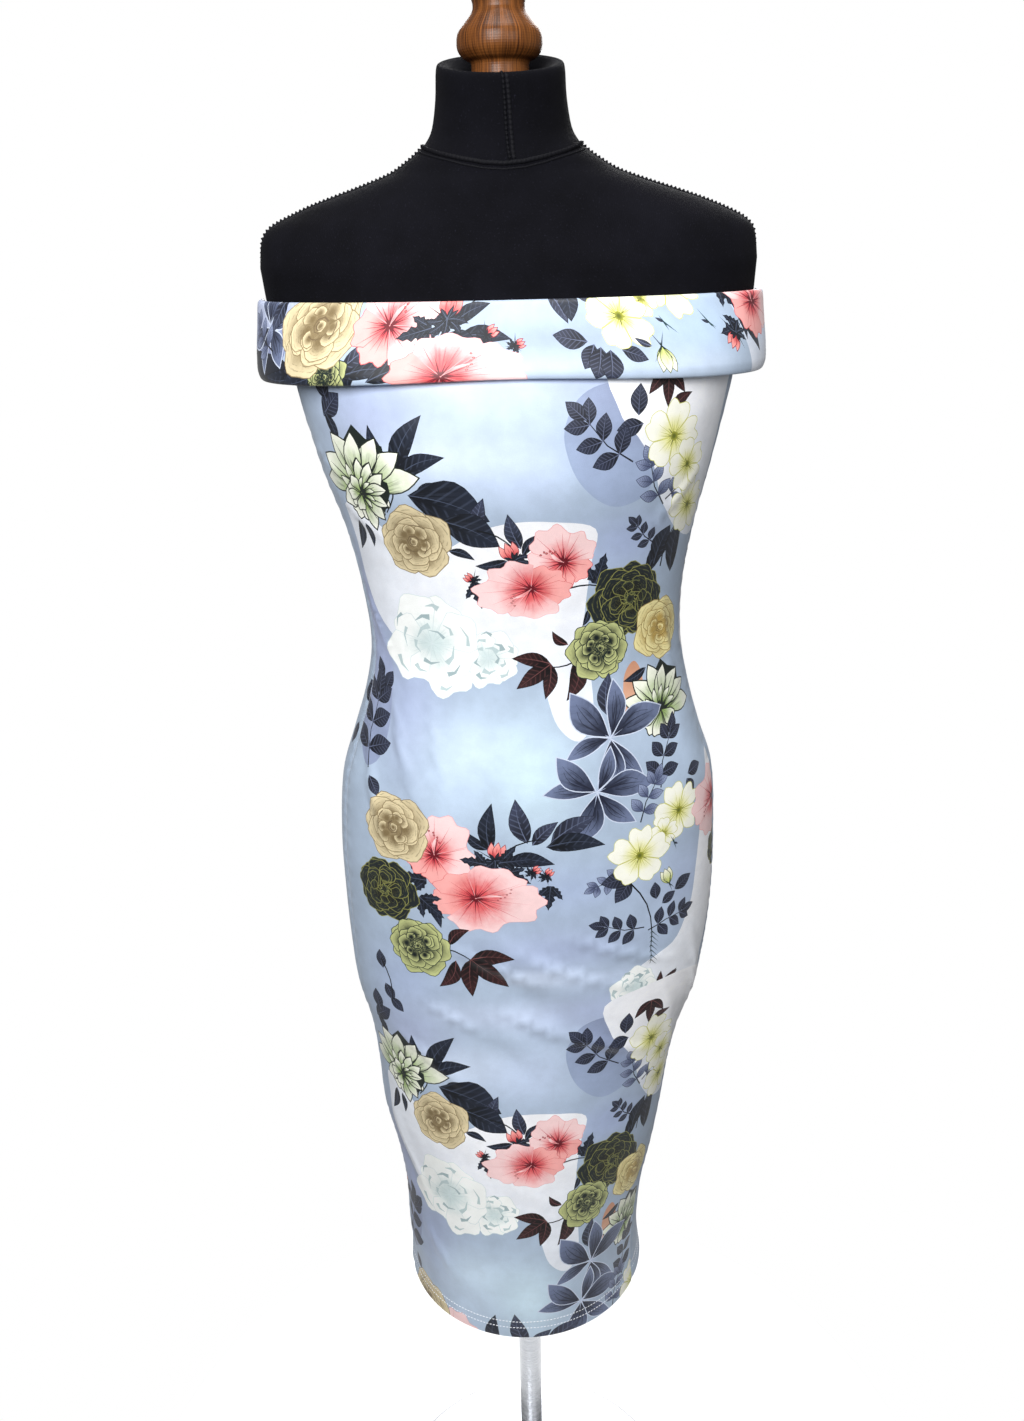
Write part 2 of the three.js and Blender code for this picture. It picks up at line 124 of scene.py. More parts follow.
# Folds: start angle and height, end angle and height, half width, and rise, or sink where negative. FOLD_ROWS
# are the CAD's own large folds, and CREASE_ROWS the soft creases that only the cloth shows
FOLD_ROWS = [
    [-30, 925, 38, 832, 24, 3],
    [-26, 880, 30, 806, 20, -2.5],
    [50, 935, 78, 805, 22, 3],
    [-58, 1180, -50, 1030, 20, 2.5],
    [-20, 822, 18, 764, 22, 2.5],
    [58, 1160, 52, 1080, 20, 2],
    [150, 1230, 212, 1188, 18, 3],
    [148, 1180, 214, 1140, 18, 2.5],
    [150, 900, 205, 830, 24, 3],
    [-128, 820, -150, 700, 24, 3],
]
CREASE_ROWS = [
    [-66, 1150, -40, 1010, 9, 1.6],
    [-48, 1140, -34, 1040, 8, 1.1],
    [-72, 1105, -56, 985, 8, 1.5],
    [-76, 1220, -62, 1150, 8, 1.2],
    [-40, 905, 8, 858, 9, 1.8],
    [-10, 900, 44, 850, 8, 1.5],
    [14, 915, 62, 868, 9, 1.6],
    [-22, 842, 30, 792, 9, 1.4],
    [16, 812, 62, 762, 10, 1.6],
    [-50, 842, -18, 806, 9, 1.2],
    [-62, 800, -26, 742, 10, 1.3],
    [66, 900, 80, 760, 8, 1.6],
    [56, 845, 74, 735, 9, 1.4],
    [-70, 700, -52, 590, 12, 1.6],
    [50, 690, 62, 580, 12, 1.4],
    [-58, 560, -30, 500, 12, 1.1],
    [62, 1210, 74, 1120, 8, 1.3],
    [44, 1130, 70, 1090, 8, 1.0],
    [-70, 1310, -50, 1265, 9, 0.9],
    [66, 1330, 46, 1270, 9, 0.9],
    [-76, 1345, -58, 1318, 7, 1.0],
    [154, 1214, 206, 1176, 8, 1.3],
    [156, 1166, 204, 1128, 8, 1.4],
    [160, 1262, 200, 1236, 9, 1.0],
    [152, 935, 186, 872, 10, 1.4],
    [176, 905, 208, 850, 9, 1.3],
    [120, 860, 150, 770, 11, 1.4],
    [-140, 905, -112, 810, 10, 1.4],
    [196, 760, 232, 660, 12, 1.5],
    [140, 740, 166, 640, 12, 1.4],
    [168, 640, 200, 560, 12, 1.1],
    [100, 1130, 118, 1010, 9, 1.3],
    [-118, 1150, -102, 1030, 9, 1.3],
]
FOLD_RADIUS = 140

# The collar's cut: offset of its middle line from the bodice, and drop below the top
COLLAR_PROFILE = [
    [-CLOTH_WALL / 2, COLLAR_INNER_DROP],
    [-CLOTH_WALL / 2, 3],
    [-0.1, 1.2],
    [1.3, 0.6],
    [2.8, 1.8],
    [3.6, 6],
    [4.5, 18],
    [5.3, 32],
    [6.3, 44],
    [6.5, 50],
    [5.4, 54.6],
    [3.4, 55.4],
    [1.9, 52],
    [1.6, 44],
    [1.8, 28],
    [1.6, 13],
]
COLLAR_FOLD_POINT = 3

FINIAL_PROFILE = [
    (0, 0), (20, 0), (22, 2), (22, 12), (27, 15), (31.5, 20), (32.5, 26), (31.2, 32.5), (26, 39), (21, 45),
    (19.6, 49.5), (20.5, 54), (23, 57), (23, 60), (17, 64), (17, 66), (21.5, 71), (24.5, 78), (25, 84),
    (22.5, 92), (16, 99.5), (8, 103.5), (0, 104.5),
]
BASE_PROFILE = [
    (0, 0), (178, 0), (180, 2), (180, 10), (176, 14), (120, 18), (34, 22), (26, 26), (24, 34), (24, 58),
    (22, 60), (12.8, 60), (12.8, 20), (0, 20),
]


def screen(red, green, blue):
    """A colour as it shows on a screen, 0 to 255, turned into the linear values that shaders take"""
    linear = []
    for part in (red, green, blue):
        share = part / 255
        linear.append(share / 12.92 if share <= 0.04045 else ((share + 0.055) / 1.055) ** 2.4)
    return tuple(linear)


class Sections:
    """A table of horizontal sections, read at any height on a smooth curve through its rows"""

    def __init__(self, rows):
        self.rows = np.array(rows, float)
        last = len(rows) - 1
        index = np.arange(len(rows))
        rise = self.rows[np.minimum(index + 1, last)] - self.rows[np.maximum(index - 1, 0)]
        self.slopes = rise / rise[:, :1]

    def at(self, z):
        z = np.asarray(z, float)
        heights = self.rows[:, Z]
        low = np.clip(np.searchsorted(heights, z, side="right") - 1, 0, len(heights) - 2)
        step = (heights[low + 1] - heights[low])[..., None]
        t = np.clip((z - heights[low])[..., None] / step, 0, 1)
        towards = t * t * (3 - 2 * t)
        leave = (t**3 - 2 * t**2 + t) * self.slopes[low] * step
        arrive = (t**3 - t**2) * self.slopes[low + 1] * step
        return self.rows[low] * (1 - towards) + self.rows[low + 1] * towards + leave + arrive


DRESS = Sections(DRESS_ROWS)


def section_point(section, angle, z):
    """Points of sections in directions from their middles, 0 at the front and 90 at +X"""
    across = np.sin(angle * RAD)
    ahead = np.cos(angle * RAD)
    depth = np.where(ahead > 0, section[..., FRONT], section[..., BACK])
    power = section[..., POWER]
    total = (np.abs(across) / section[..., HALF]) ** power + (np.abs(ahead) / depth) ** power
    reach = total ** (-1 / power)
    return np.stack([section[..., LEAN] + reach * across, -reach * ahead, z + 0 * reach], -1)


def unit(vectors):
    return vectors / np.maximum(np.linalg.norm(vectors, axis=-1, keepdims=True), 1e-9)


def dress_point(angle, z):
    return section_point(DRESS.at(z), angle, z)


def outward(surface, angle, z):
    """The way out of a surface, from the places a degree and a millimetre to each side"""
    sideways = surface(angle + 1, z) - surface(angle - 1, z)
    upward = surface(angle, z + 1) - surface(angle, z - 1)
    return unit(np.cross(sideways, upward))


def fold_rise(angle, z, rows):
    """How far a table of folds lifts the cloth at each place"""
    rise = np.zeros(np.broadcast(angle, z).shape)
    for start_angle, start_z, end_angle, end_z, spread, height in rows:
        middle = (start_angle + end_angle) / 2
        turn = (angle - middle + 180) % 360 - 180 + middle
        along_x = (end_angle - start_angle) * RAD * FOLD_RADIUS
        along_z = end_z - start_z
        x = (turn - start_angle) * RAD * FOLD_RADIUS
        up = z - start_z
        length = math.hypot(along_x, along_z)
        along = (x * along_x + up * along_z) / length**2
        aside = np.abs(x * along_z - up * along_x) / length / spread
        inside = (along > 0) & (along < 1) & (aside < 1)
        shape = np.sin(np.pi * np.clip(along, 0, 1)) * np.cos(np.clip(aside, 0, 1) * np.pi / 2) ** 2
        rise += np.where(inside, height * shape, 0)
    return rise


def back_dip(angle):
    """How far the collar and the top edge sink behind the shoulders"""
    behind = np.maximum(np.abs((angle + 180) % 360 - 180) - 90, 0)
    return COLLAR_BACK_DIP * np.sin(np.minimum(2 * behind, 90) * RAD)


def panel_top(angle, left_seam, right_seam):
    """The top edge of a panel, which drops from the collar to the underarm at each side"""
    angle = (angle + 180) % 360 - 180
    seam = np.where(angle < 0, -left_seam, right_seam)
    behind = np.abs(angle) > seam
    from_middle = np.where(behind, 180 - np.abs(angle), np.abs(angle))
    seam_from_middle = np.where(behind, 180 - seam, seam)
    t = np.clip((from_middle - ARMHOLE_FROM_ANGLE) / (seam_from_middle - ARMHOLE_FROM_ANGLE), 0, 1)
    top = BODICE_TOP_Z - back_dip(angle)
    return top + (UNDERARM_Z - top) * t**ARMHOLE_CURVE


ARC_STEPS = 61


def arc_length(surface, start, angle, z):
    """The distance round a surface from one direction to others, at their own heights"""
    angle, z = np.broadcast_arrays(np.asarray(angle, float), np.asarray(z, float))
    steps = np.linspace(0, 1, ARC_STEPS)[:, None]
    points = surface(start + (angle.ravel() - start) * steps, np.broadcast_to(z.ravel(), (ARC_STEPS, z.size)))
    total = np.linalg.norm(np.diff(points, axis=0), axis=-1).sum(0)
    return (np.sign(angle - start).ravel() * total).reshape(angle.shape)


class Unroller:
    """Turns a distance round the cloth from a piece's middle into a direction, at any height"""

    WIDTH_STEP = 4.0
    WIDTHS = np.arange(-320, 321, WIDTH_STEP)
    TURNS = np.arange(-135, 136, 1.0)
    SHORT_OF_END = 1.001

    def __init__(self, surface, middle, heights):
        self.heights = np.asarray(heights, float)
        turn, z = np.meshgrid(middle + self.TURNS, self.heights, indexing="ij")
        points = surface(turn, z)
        steps = np.linalg.norm(np.diff(points, axis=0), axis=-1)
        lengths = np.concatenate([np.zeros((1, len(self.heights))), np.cumsum(steps, 0)])
        lengths -= lengths[len(self.TURNS) // 2]
        turns = middle + self.TURNS
        self.angles = np.array([np.interp(self.WIDTHS, column, turns) for column in lengths.T])

    def angle(self, u, z):
        row = np.interp(z, self.heights, np.arange(len(self.heights)))
        row = np.clip(row, 0, len(self.heights) - self.SHORT_OF_END)
        column = np.clip((u - self.WIDTHS[0]) / self.WIDTH_STEP, 0, len(self.WIDTHS) - self.SHORT_OF_END)
        j, i = row.astype(int), column.astype(int)
        a, b = row - j, column - i
        low = self.angles[j, i] * (1 - b) + self.angles[j, i + 1] * b
        high = self.angles[j + 1, i] * (1 - b) + self.angles[j + 1, i + 1] * b
        return low * (1 - a) + high * a


# The print: outlined shapes in millimetres on the flat cloth, in the order they are painted

# A shape's look: its colours at the root, at the tip, of its drawn lines and of its edge, where it has one,
# and how strongly it carries streaks from the root, contours round it and veins across its middle line
LOOK_ROWS = {
    "tan": ((128, 110, 76), (226, 210, 170), (104, 88, 62), (140, 122, 88), (0.25, 0.45, 0)),
    "straw": ((188, 158, 84), (242, 230, 168), (124, 104, 56), (160, 136, 78), (0.3, 0.45, 0)),
    "night": ((8, 12, 18), (30, 38, 40), (150, 152, 84), (148, 148, 82), (0.05, 0.35, 0)),
    "moss": ((8, 20, 24), (192, 198, 136), (24, 36, 34), (30, 42, 38), (0.45, 0.2, 0)),
    "ghost": ((212, 228, 228), (252, 255, 253), (190, 208, 210), (214, 228, 230), (0.5, 0, 0)),
    "peony": ((150, 180, 96), (250, 252, 238), (30, 40, 32), (26, 34, 28), (0.75, 0, 0)),
    "hibiscus": ((226, 88, 90), (252, 216, 216), (210, 78, 90), (240, 168, 170), (0.6, 0, 0)),
    "coral": ((216, 76, 80), (250, 176, 172), (196, 56, 70), (222, 96, 100), (0.6, 0, 0)),
    "throat": ((104, 16, 30), (150, 40, 54), (70, 10, 22), None, (0, 0, 0)),
    "wild": ((240, 238, 150), (254, 254, 240), (200, 200, 112), (206, 206, 118), (0.5, 0, 0)),
    "gap": ((190, 194, 104), (222, 224, 150), (120, 124, 60), None, (0, 0, 0)),
    "stamen": ((96, 104, 34), (160, 160, 56), (56, 62, 28), None, (0, 0, 0)),
    "lily": ((36, 42, 62), (112, 124, 156), (28, 32, 50), (204, 214, 234), (0.85, 0, 0.1)),
    "slate": ((28, 31, 43), (60, 66, 88), (104, 114, 142), (28, 32, 46), (0, 0, 0.4)),
    "mist": ((84, 94, 126), (146, 158, 190), (56, 62, 88), (60, 68, 94), (0, 0, 0.6)),
    "navy": ((10, 14, 22), (32, 39, 55), (76, 86, 108), (10, 14, 24), (0.15, 0, 0.3)),
    "oval": ((22, 25, 37), (46, 51, 70), (94, 102, 128), (22, 26, 38), (0, 0, 0.5)),
    "maroon": ((14, 8, 11), (54, 28, 30), (118, 72, 72), (12, 6, 10), (0, 0, 0.3)),
    "bud": ((220, 78, 82), (252, 170, 164), (150, 30, 44), (140, 36, 48), (0.8, 0, 0)),
    "cream": ((206, 216, 120), (252, 252, 232), (96, 104, 52), (86, 96, 48), (0.6, 0, 0)),
    "fern": ((16, 38, 40), (34, 66, 66), (90, 120, 116), None, (0, 0, 0)),
}
LOOKS = {name: (*(screen(*colour) for colour in row[:3]), row[4]) for name, row in LOOK_ROWS.items()}
EDGES = {name: screen(*row[3]) for name, row in LOOK_ROWS.items() if row[3]}
STILL = (0, 0, 0)

# Points nearer than this count as one, and shapes smaller than this are left out
SAME_PLACE = 0.01
SMALLEST_AREA = 0.15
# Edges: what keeps a sharp corner from moving too far in, and the share of the width that has to be reached
SHARPEST_CORNER = 0.12
KEPT_FROM_EDGE = 0.8
# Leaves with teeth: the width at a tooth and between two teeth, as shares of the plain leaf's
TOOTH_TIP, TOOTH_GAP = 1.18, 0.72
# Broad petals: how fast the reach falls away from the middle, and how wide the notch is
FAN_ARC = 1.33
NOTCH_WIDTH = 0.22


def heading_vector(degrees):
    return np.array([math.cos(degrees * RAD), math.sin(degrees * RAD)])


def without_repeats(outline):
    return outline[np.linalg.norm(outline - np.roll(outline, 1, 0), axis=1) > SAME_PLACE]


def signed_area(outline):
    x, y = outline[:, 0], outline[:, 1]
    return 0.5 * float(np.sum(x * np.roll(y, -1) - np.roll(x, -1) * y))


def drawn_in(outline, edge):
    """The outline moved inwards by the edge's width, without the points that would fold over"""
    step = np.roll(outline, -1, 0) - outline
    way = unit(step)
    inward = np.stack([-way[:, 1], way[:, 0]], -1)
    corner = (inward + np.roll(inward, 1, 0)) / 2
    moved = outline + corner * edge / np.maximum((corner**2).sum(-1, keepdims=True), SHARPEST_CORNER)
    place = moved[:, None] - outline[None]
    t = np.clip((place * step).sum(-1) / np.maximum((step**2).sum(-1), 1e-9), 0, 1)
    gap = np.linalg.norm(place - step * t[..., None], axis=-1).min(1)
    return moved[gap > KEPT_FROM_EDGE * edge]


class Print:
    """Shapes in painting order, each with its outline, its look and the root that its gradient starts from"""

    def __init__(self):
        self.outlines, self.looks, self.roots = [], [], []

    def paint(self, outline, look, root=(0, 0), heading=0.0, reach=1.0):
        outline = without_repeats(np.asarray(outline, float))
        if len(outline) < 3 or abs(signed_area(outline)) < SMALLEST_AREA:
            return
        self.outlines.append(outline)
        self.looks.append(look)
        self.roots.append((*root, *heading_vector(heading), reach))

    def shape(self, outline, name, root, heading, reach, edge=0.6, fade=0.0):
        """A shape with a drawn edge: the whole outline in the edge's colour, and then its middle"""
        outline = np.asarray(outline, float)
        if signed_area(outline) < 0:
            outline = outline[::-1]
        if name not in EDGES:
            self.paint(outline, LOOKS[name], root, heading, reach)
            return
        colour = tuple(a * (1 - fade) + b * fade for a, b in zip(EDGES[name], LOOKS[name][0]))
        self.paint(outline, (colour, colour, colour, STILL))
        self.paint(drawn_in(outline, edge), LOOKS[name], root, heading, reach)

    def copy(self, mirror, shift_x, shift_y):
        """The same print moved, and turned over left to right if asked"""
        side = -1 if mirror else 1
        other = Print()
        for outline, look, (x, y, heading_x, heading_y, reach) in zip(self.outlines, self.looks, self.roots):
            other.outlines.append(outline * [side, 1] + [shift_x, shift_y])
            other.looks.append(look)
            other.roots.append((side * x + shift_x, y + shift_y, side * heading_x, heading_y, reach))
        return other


def leaf_outline(root, heading, length, width, bend=0.0, fullness=0.8, teeth=0, steps=9):
    """A leaf from its root to its tip; fullness moves the widest place, and bend curves its middle line"""
    s = np.linspace(0, 1, (2 * teeth + 1 if teeth else steps) + 1)
    half = width / 2 * np.sin(np.pi * s**fullness)
    if teeth:
        half = half * np.where(np.arange(len(s)) % 2, TOOTH_TIP, TOOTH_GAP)
    ahead = heading_vector(heading)
    aside = heading_vector(heading + 90)
    bow = aside * (bend * length * np.sin(np.pi * s))[:, None]
    middle = np.asarray(root) + ahead * (length * s)[:, None] + bow
    left = middle[1:-1] + aside * half[1:-1, None]
    right = middle[1:-1] - aside * half[1:-1, None]
    return np.concatenate([middle[:1], right, middle[-1:], left[::-1]]), middle


def fan_outline(root, heading, length, spread, ruffle, waves, notch=0.0, phase=0.0, square=0.3, steps=15):
    """A broad petal that opens from its root, with a wavy edge and a notch in its middle if asked"""
    t = np.linspace(-1, 1, steps)
    reach = np.cos(t * FAN_ARC) ** square * (1 + ruffle * np.sin(waves * np.pi * t + phase))
    reach -= notch * np.exp(-((t / NOTCH_WIDTH) ** 2))
    turns = (heading + spread * t) * RAD
    edge = np.asarray(root) + length * reach[:, None] * np.stack([np.cos(turns), np.sin(turns)], -1)
    return np.concatenate([[root], edge])


def stroke_outline(points, width, taper=1.0):
    """A drawn line with a width, thinner towards its end"""
    points = np.asarray(points, float)
    along = unit(np.gradient(points, axis=0))
    aside = np.stack([-along[:, 1], along[:, 0]], -1)
    half = width / 2 * (1 - taper * np.linspace(0, 1, len(points)))[:, None]
    left, right = points + aside * half, points - aside * half
    return np.concatenate([right, left[::-1]]) if taper < 1 else np.concatenate([right, left[-2::-1]])


def draw_stroke(p, points, width, colour, taper=0.8):
    p.paint(stroke_outline(points, width, taper), (colour, colour, colour, STILL))


def draw_leaf(p, x, y, length, heading, name="slate", width=0.42, bend=0.06, teeth=0, fullness=0.8):
    steps = 5 if length < 10 else 8
    outline, middle = leaf_outline((x, y), heading, length, width * length, bend, fullness, teeth, steps)
    p.shape(outline, name, (x, y), heading, length, 0.5)
    if length > 9:
        draw_stroke(p, middle[:-1], 0.8, LOOKS[name][2])


def draw_petal(p, name, root, heading, length, width, bend, fullness, steps=9, edge=0.5, reach=None):
    """A long petal with a drawn edge, shaded over its length or over the reach that is given"""
    outline, _ = leaf_outline(root, heading, length, width, bend, fullness, 0, steps)
    p.shape(outline, name, root, heading, reach or length, edge)


def draw_spikes(p, x, y, reach, headings, colour, width=0.9, start=0.1):
    """Thin pointed strokes that spread from a point"""
    for i, heading in enumerate(headings):
        ahead, aside = heading_vector(heading), heading_vector(heading + 90) * width / 2
        length = reach * (0.62 + 0.38 * math.sin(i * 2.4 + x))
        foot = np.array([x, y]) + ahead * reach * start
        p.paint([foot - aside, foot + ahead * length, foot + aside], (colour, colour, colour, STILL))


def draw_disc(p, x, y, radius, look, ruffle=0.1, waves=4):
    p.paint(fan_outline((x, y), 0, radius, 180, ruffle, waves, steps=13)[1:], look, (x, y), 0, radius)


# A rose's wound heart: each drawn arc's radius and sweep
ROSE_SPIRALS = ((0.2, 250), (0.11, 210), (0.32, 120), (0.45, 90), (0.56, 70))


def draw_rose(p, x, y, size, turn, name, rings, line, shade_from=0.3):
    """A full rose: rings of petals from the outside in, each darker towards its root, then a wound heart"""
    for ring, (reach, count, spread) in enumerate(rings):
        for k in range(count):
            heading = turn + 360 * (k + 0.37 * ring) / count
            wobble = 1.06 + 0.1 * math.sin(5.1 * k + 2.3 * ring + turn)
            length = size * reach * wobble
            root = np.array([x, y]) + heading_vector(heading + 40) * size * 0.05 * (ring + 1)
            outline = fan_outline(root, heading, length, spread, 0.04, 2.3, 0, k + ring, 0.26, 11 - ring)
            shade_root = root + heading_vector(heading) * length * shade_from
            shade_reach = length * (1.02 - shade_from)
            p.shape(outline, name, shade_root, heading, shade_reach, 0.65, 0.35 * ring / len(rings))
    draw_disc(p, x, y, size * 0.13, LOOKS[name])
    for k, (radius, sweep) in enumerate(ROSE_SPIRALS):
        bow = (turn + k * 97 + np.linspace(0, sweep, 6)) * RAD
        spiral = radius * size * (1 - 0.18 * np.linspace(0, 1, 6))
        points = np.array([x, y]) + np.stack([np.cos(bow), np.sin(bow)], -1) * spiral[:, None]
        draw_stroke(p, points, 1.3 if k < 2 else 0.9, line, 0.7)


# A rose's rings from the outside in: reach, count and spread of the petals
ROSE_RINGS = ((1.0, 5, 50), (0.8, 5, 50), (0.6, 4, 58), (0.42, 4, 56), (0.26, 3, 74))
FULL_RINGS = ((1.0, 7, 38), (0.82, 6, 42), (0.65, 6, 42), (0.48, 5, 48), (0.31, 4, 58))


def draw_ghost_rose(p, x, y, size, turn):
    """A faded flower: broad white petals with soft grey brush marks at their roots"""
    for k in range(8):
        heading = turn + 45 * k
        reach = size * (0.95 + 0.14 * math.sin(2.7 * k))
        outline = fan_outline((x, y), heading, reach, 36, 0.05, 2, 0.03, k, 0.22, 12)
        p.shape(outline, "ghost", (x, y), heading, reach * 0.7, 0.5)
    shade = screen(190, 208, 210)
    deep = screen(164, 184, 188)
    for k in range(15):
        ahead = heading_vector(turn + 67 * k)
        aside = heading_vector(turn + 67 * k + 90)
        a = np.array([x, y]) + ahead * size * (0.2 + 0.045 * k)
        reach = size * (0.2 + 0.05 * math.sin(2.1 * k))
        bow = [a - aside * reach, a - aside * reach * 0.3 + ahead * 3, a + aside * reach * 0.6 + ahead]
        draw_stroke(p, bow, 3.0 + 2.4 * math.sin(1.3 * k) ** 2, deep if k % 3 == 0 else shade, 0.9)


def draw_peony(p, x, y, size, turn):
    """A ragged flower of long petals with ink between them"""
    heart = np.array([x, y]) - heading_vector(turn) * size * 0.42
    ink = screen(24, 34, 30)
    draw_disc(p, x, y, size * 0.56, (ink, ink, ink, STILL), 0.16, 5)
    for k, lean in enumerate((-78, 74, -52, 50, -27, 25, 0)):
        heading = turn + lean
        reach = size * (1.04 - 0.12 * abs(math.sin(k * 1.9)))
        root = np.array([x, y]) - heading_vector(turn) * size * 0.5 + heading_vector(heading) * size * 0.08
        draw_petal(p, "peony", root, heading, reach, reach * 0.42, 0.07 * (-1) ** k, 1.3, 8, 1.1)
    for k, lean in enumerate((150, -150, 115, -118, 180)):
        root = np.array([x, y]) - heading_vector(turn) * size * 0.4
        outline = fan_outline(root, turn + lean, size * 0.55, 30, 0.06, 2, 0, k, 0.3, 9)
        p.shape(outline, "peony", root, turn + lean, size * 0.55, 1.0)
    draw_spikes(p, *heart, size * 0.9, [turn + a for a in range(-70, 71, 14)], ink, 2.0)
    for k in range(5):
        root = heart + heading_vector(turn + 36 * (k - 2)) * size * 0.1
        draw_petal(p, "peony", root, turn + 30 * (k - 2), size * 0.42, size * 0.16, 0.1, 1.2, 6, 0.8)


def draw_hibiscus(p, x, y, size, turn):
    """Five broad petals, longer towards the turn, with a dark throat and a column of stamens"""
    for k in (3, 2, 4, 1, 0):
        heading = turn + 72 * k
        reach = size * (1.0 + 0.2 * math.cos(72 * k * RAD))
        name = "coral" if k in (2, 3) else "hibiscus"
        outline = fan_outline((x, y), heading, reach, 42, 0.06, 3, 0.05, k * 1.3, 0.2, 17)
        p.shape(outline, name, (x, y), heading, reach * 0.72, 0.5)
        folds = [heading + a for a in (-27, -13, 2, 15, 28)]
        draw_spikes(p, x, y, reach * 0.85, folds, LOOKS[name][2], 0.9, 0.12)
        throat = [heading + a for a in range(-30, 31, 12)]
        draw_spikes(p, x, y, reach * 0.5, throat, LOOKS["throat"][0], 1.5, 0.03)
    draw_petal(p, "hibiscus", (x, y), turn + 20, size * 0.55, 3.4, 0.1, 1.1, reach=size * 0.4)
    for k in range(6):
        at = np.array([x, y]) + heading_vector(turn + 20 + 6 * (k - 2)) * size * (0.36 + 0.06 * k)
        draw_leaf(p, *at, 2.4, turn + 90 * (k % 2), "bud", 0.8, 0)


LOW_VIEW = 0.62


def draw_low_hibiscus(p, x, y, size, turn):
    """The same flower seen from low down, so that it is much wider than high"""
    whole = Print()
    draw_hibiscus(whole, x, y, size, turn)
    for outline, look, (*root, ahead_x, ahead_y, reach) in zip(whole.outlines, whole.looks, whole.roots):
        flattened = outline * [1, LOW_VIEW] + [0, (1 - LOW_VIEW) * y]
        p.paint(flattened, look, root, math.degrees(math.atan2(ahead_y, ahead_x)), reach)


def draw_wild_rose(p, x, y, size, turn):
    """Five notched petals round a ring of stamens"""
    draw_disc(p, x, y, size * 0.6, LOOKS["gap"])
    for k in (0, 2, 4, 1, 3):
        heading = turn + 72 * k
        reach = size * (1.04 + 0.08 * math.sin(3 * k))
        outline = fan_outline((x, y), heading, reach, 36, 0.04, 2, 0.16, k, 0.3, 13)
        p.shape(outline, "wild", (x, y), heading, reach * 0.7, 0.55)
        folds = [heading + a for a in (-22, -6, 10, 24)]
        draw_spikes(p, x, y, reach * 0.6, folds, LOOKS["wild"][2], 0.7, 0.25)
    draw_spikes(p, x, y, size * 0.4, [turn + a for a in range(0, 360, 24)], LOOKS["stamen"][1], 0.9, 0.14)
    draw_spikes(p, x, y, size * 0.3, [turn + a for a in range(12, 360, 40)], LOOKS["stamen"][2], 1.0, 0.12)
    draw_disc(p, x, y, size * 0.14, LOOKS["stamen"])


def draw_lily(p, x, y, size, turn):
    """Six long petals with pale rims and a dark middle line"""
    for k in (1, 3, 5, 0, 2, 4):
        heading = turn + 60 * k + 10 * math.sin(k * 2.2)
        reach = size * (1.04 - 0.14 * (k % 2) + 0.08 * math.sin(k * 1.4))
        width = reach * (0.46 if k % 2 == 0 else 0.36)
        outline, middle = leaf_outline((x, y), heading, reach, width, 0.08 * (-1) ** k, 1.08, 0, 10)
        p.shape(outline, "lily", (x, y), heading, reach, 0.9)
        draw_stroke(p, middle[1:-2], 1.4, LOOKS["lily"][2], 0.9)
        for side in (-1, 1):
            aside = heading_vector(heading + 90) * width * 0.2 * side
            bow = aside * np.sin(np.linspace(0.6, 2.6, 5))[:, None]
            draw_stroke(p, middle[3:-3] + bow, 0.7, LOOKS["lily"][2], 0.6)
    draw_spikes(p, x, y, size * 0.26, [turn + a for a in range(10, 360, 60)], screen(176, 188, 214), 1.0)


def draw_bud(p, x, y, size, turn):
    """A closed pink flower in dark feathery bracts"""
    spikes = [turn + 180 + a for a in (-112, -76, -44, -14, 20, 52, 84, 116)]
    draw_spikes(p, x, y, size * 1.25, spikes, LOOKS["navy"][0], 1.2, 0)
    for lean in (-128, -96, 100, 134, 178):
        draw_leaf(p, x, y, size * 0.85, turn + lean, "navy", 0.38, 0.08, 3)
    for lean in (-20, 20, 0):
        draw_petal(p, "bud", (x, y), turn + lean, size, size * 0.42, 0.004 * lean, 0.95)
    for lean in (-46, 48, -14):
        draw_leaf(p, x, y, size * 0.5, turn + lean, "navy", 0.34, 0)


def draw_cream_bud(p, x, y, size, turn):
    for lean in (-16, 16, 0):
        draw_petal(p, "cream", (x, y), turn + lean, size, size * 0.46, 0, 0.95)
    draw_spikes(p, x, y, size * 0.9, [turn + a for a in (-40, -24, 30, 46)], LOOKS["fern"][0], 1.0, 0)
    draw_spikes(p, x, y, size * 0.7, [turn + 180 + a for a in (-30, 0, 24)], LOOKS["fern"][0], 1.0, 0)


def draw_spray(p, x, y, size, turn, name="oval"):
    """A stalk with pairs of rounded leaves and one at its end"""
    tip = np.array([x, y]) + heading_vector(turn) * size
    bow = heading_vector(turn + 90) * size * 0.08
    middle = (np.array([x, y]) + tip) / 2 + bow
    draw_stroke(p, [(x, y), middle, tip], 1.3, LOOKS["oval"][0], 0.5)
    for k, share in enumerate((0.26, 0.6, 0.92)):
        at = np.array([x, y]) * (1 - share) + tip * share + bow * math.sin(math.pi * share)
        for side in (-1, 1):
            draw_leaf(p, *at, size * (0.46 - 0.03 * k), turn + side * (64 - 8 * k), name, 0.6, 0.02, 0, 0.95)
    draw_leaf(p, *tip, size * 0.42, turn, name, 0.58, 0, 0, 0.95)


def draw_lobed_leaf(p, x, y, size, turn):
    for lean, share in ((-42, 0.72), (42, 0.72), (0, 1)):
        draw_leaf(p, x, y, size * share, turn + lean, "navy", 0.4, 0, 4)


def draw_maroon_trio(p, x, y, size, turn):
    for lean, share in ((-46, 0.9), (44, 0.86), (0, 1)):
        draw_leaf(p, x, y, size * share, turn + lean, "maroon", 0.4, 0.0012 * lean)


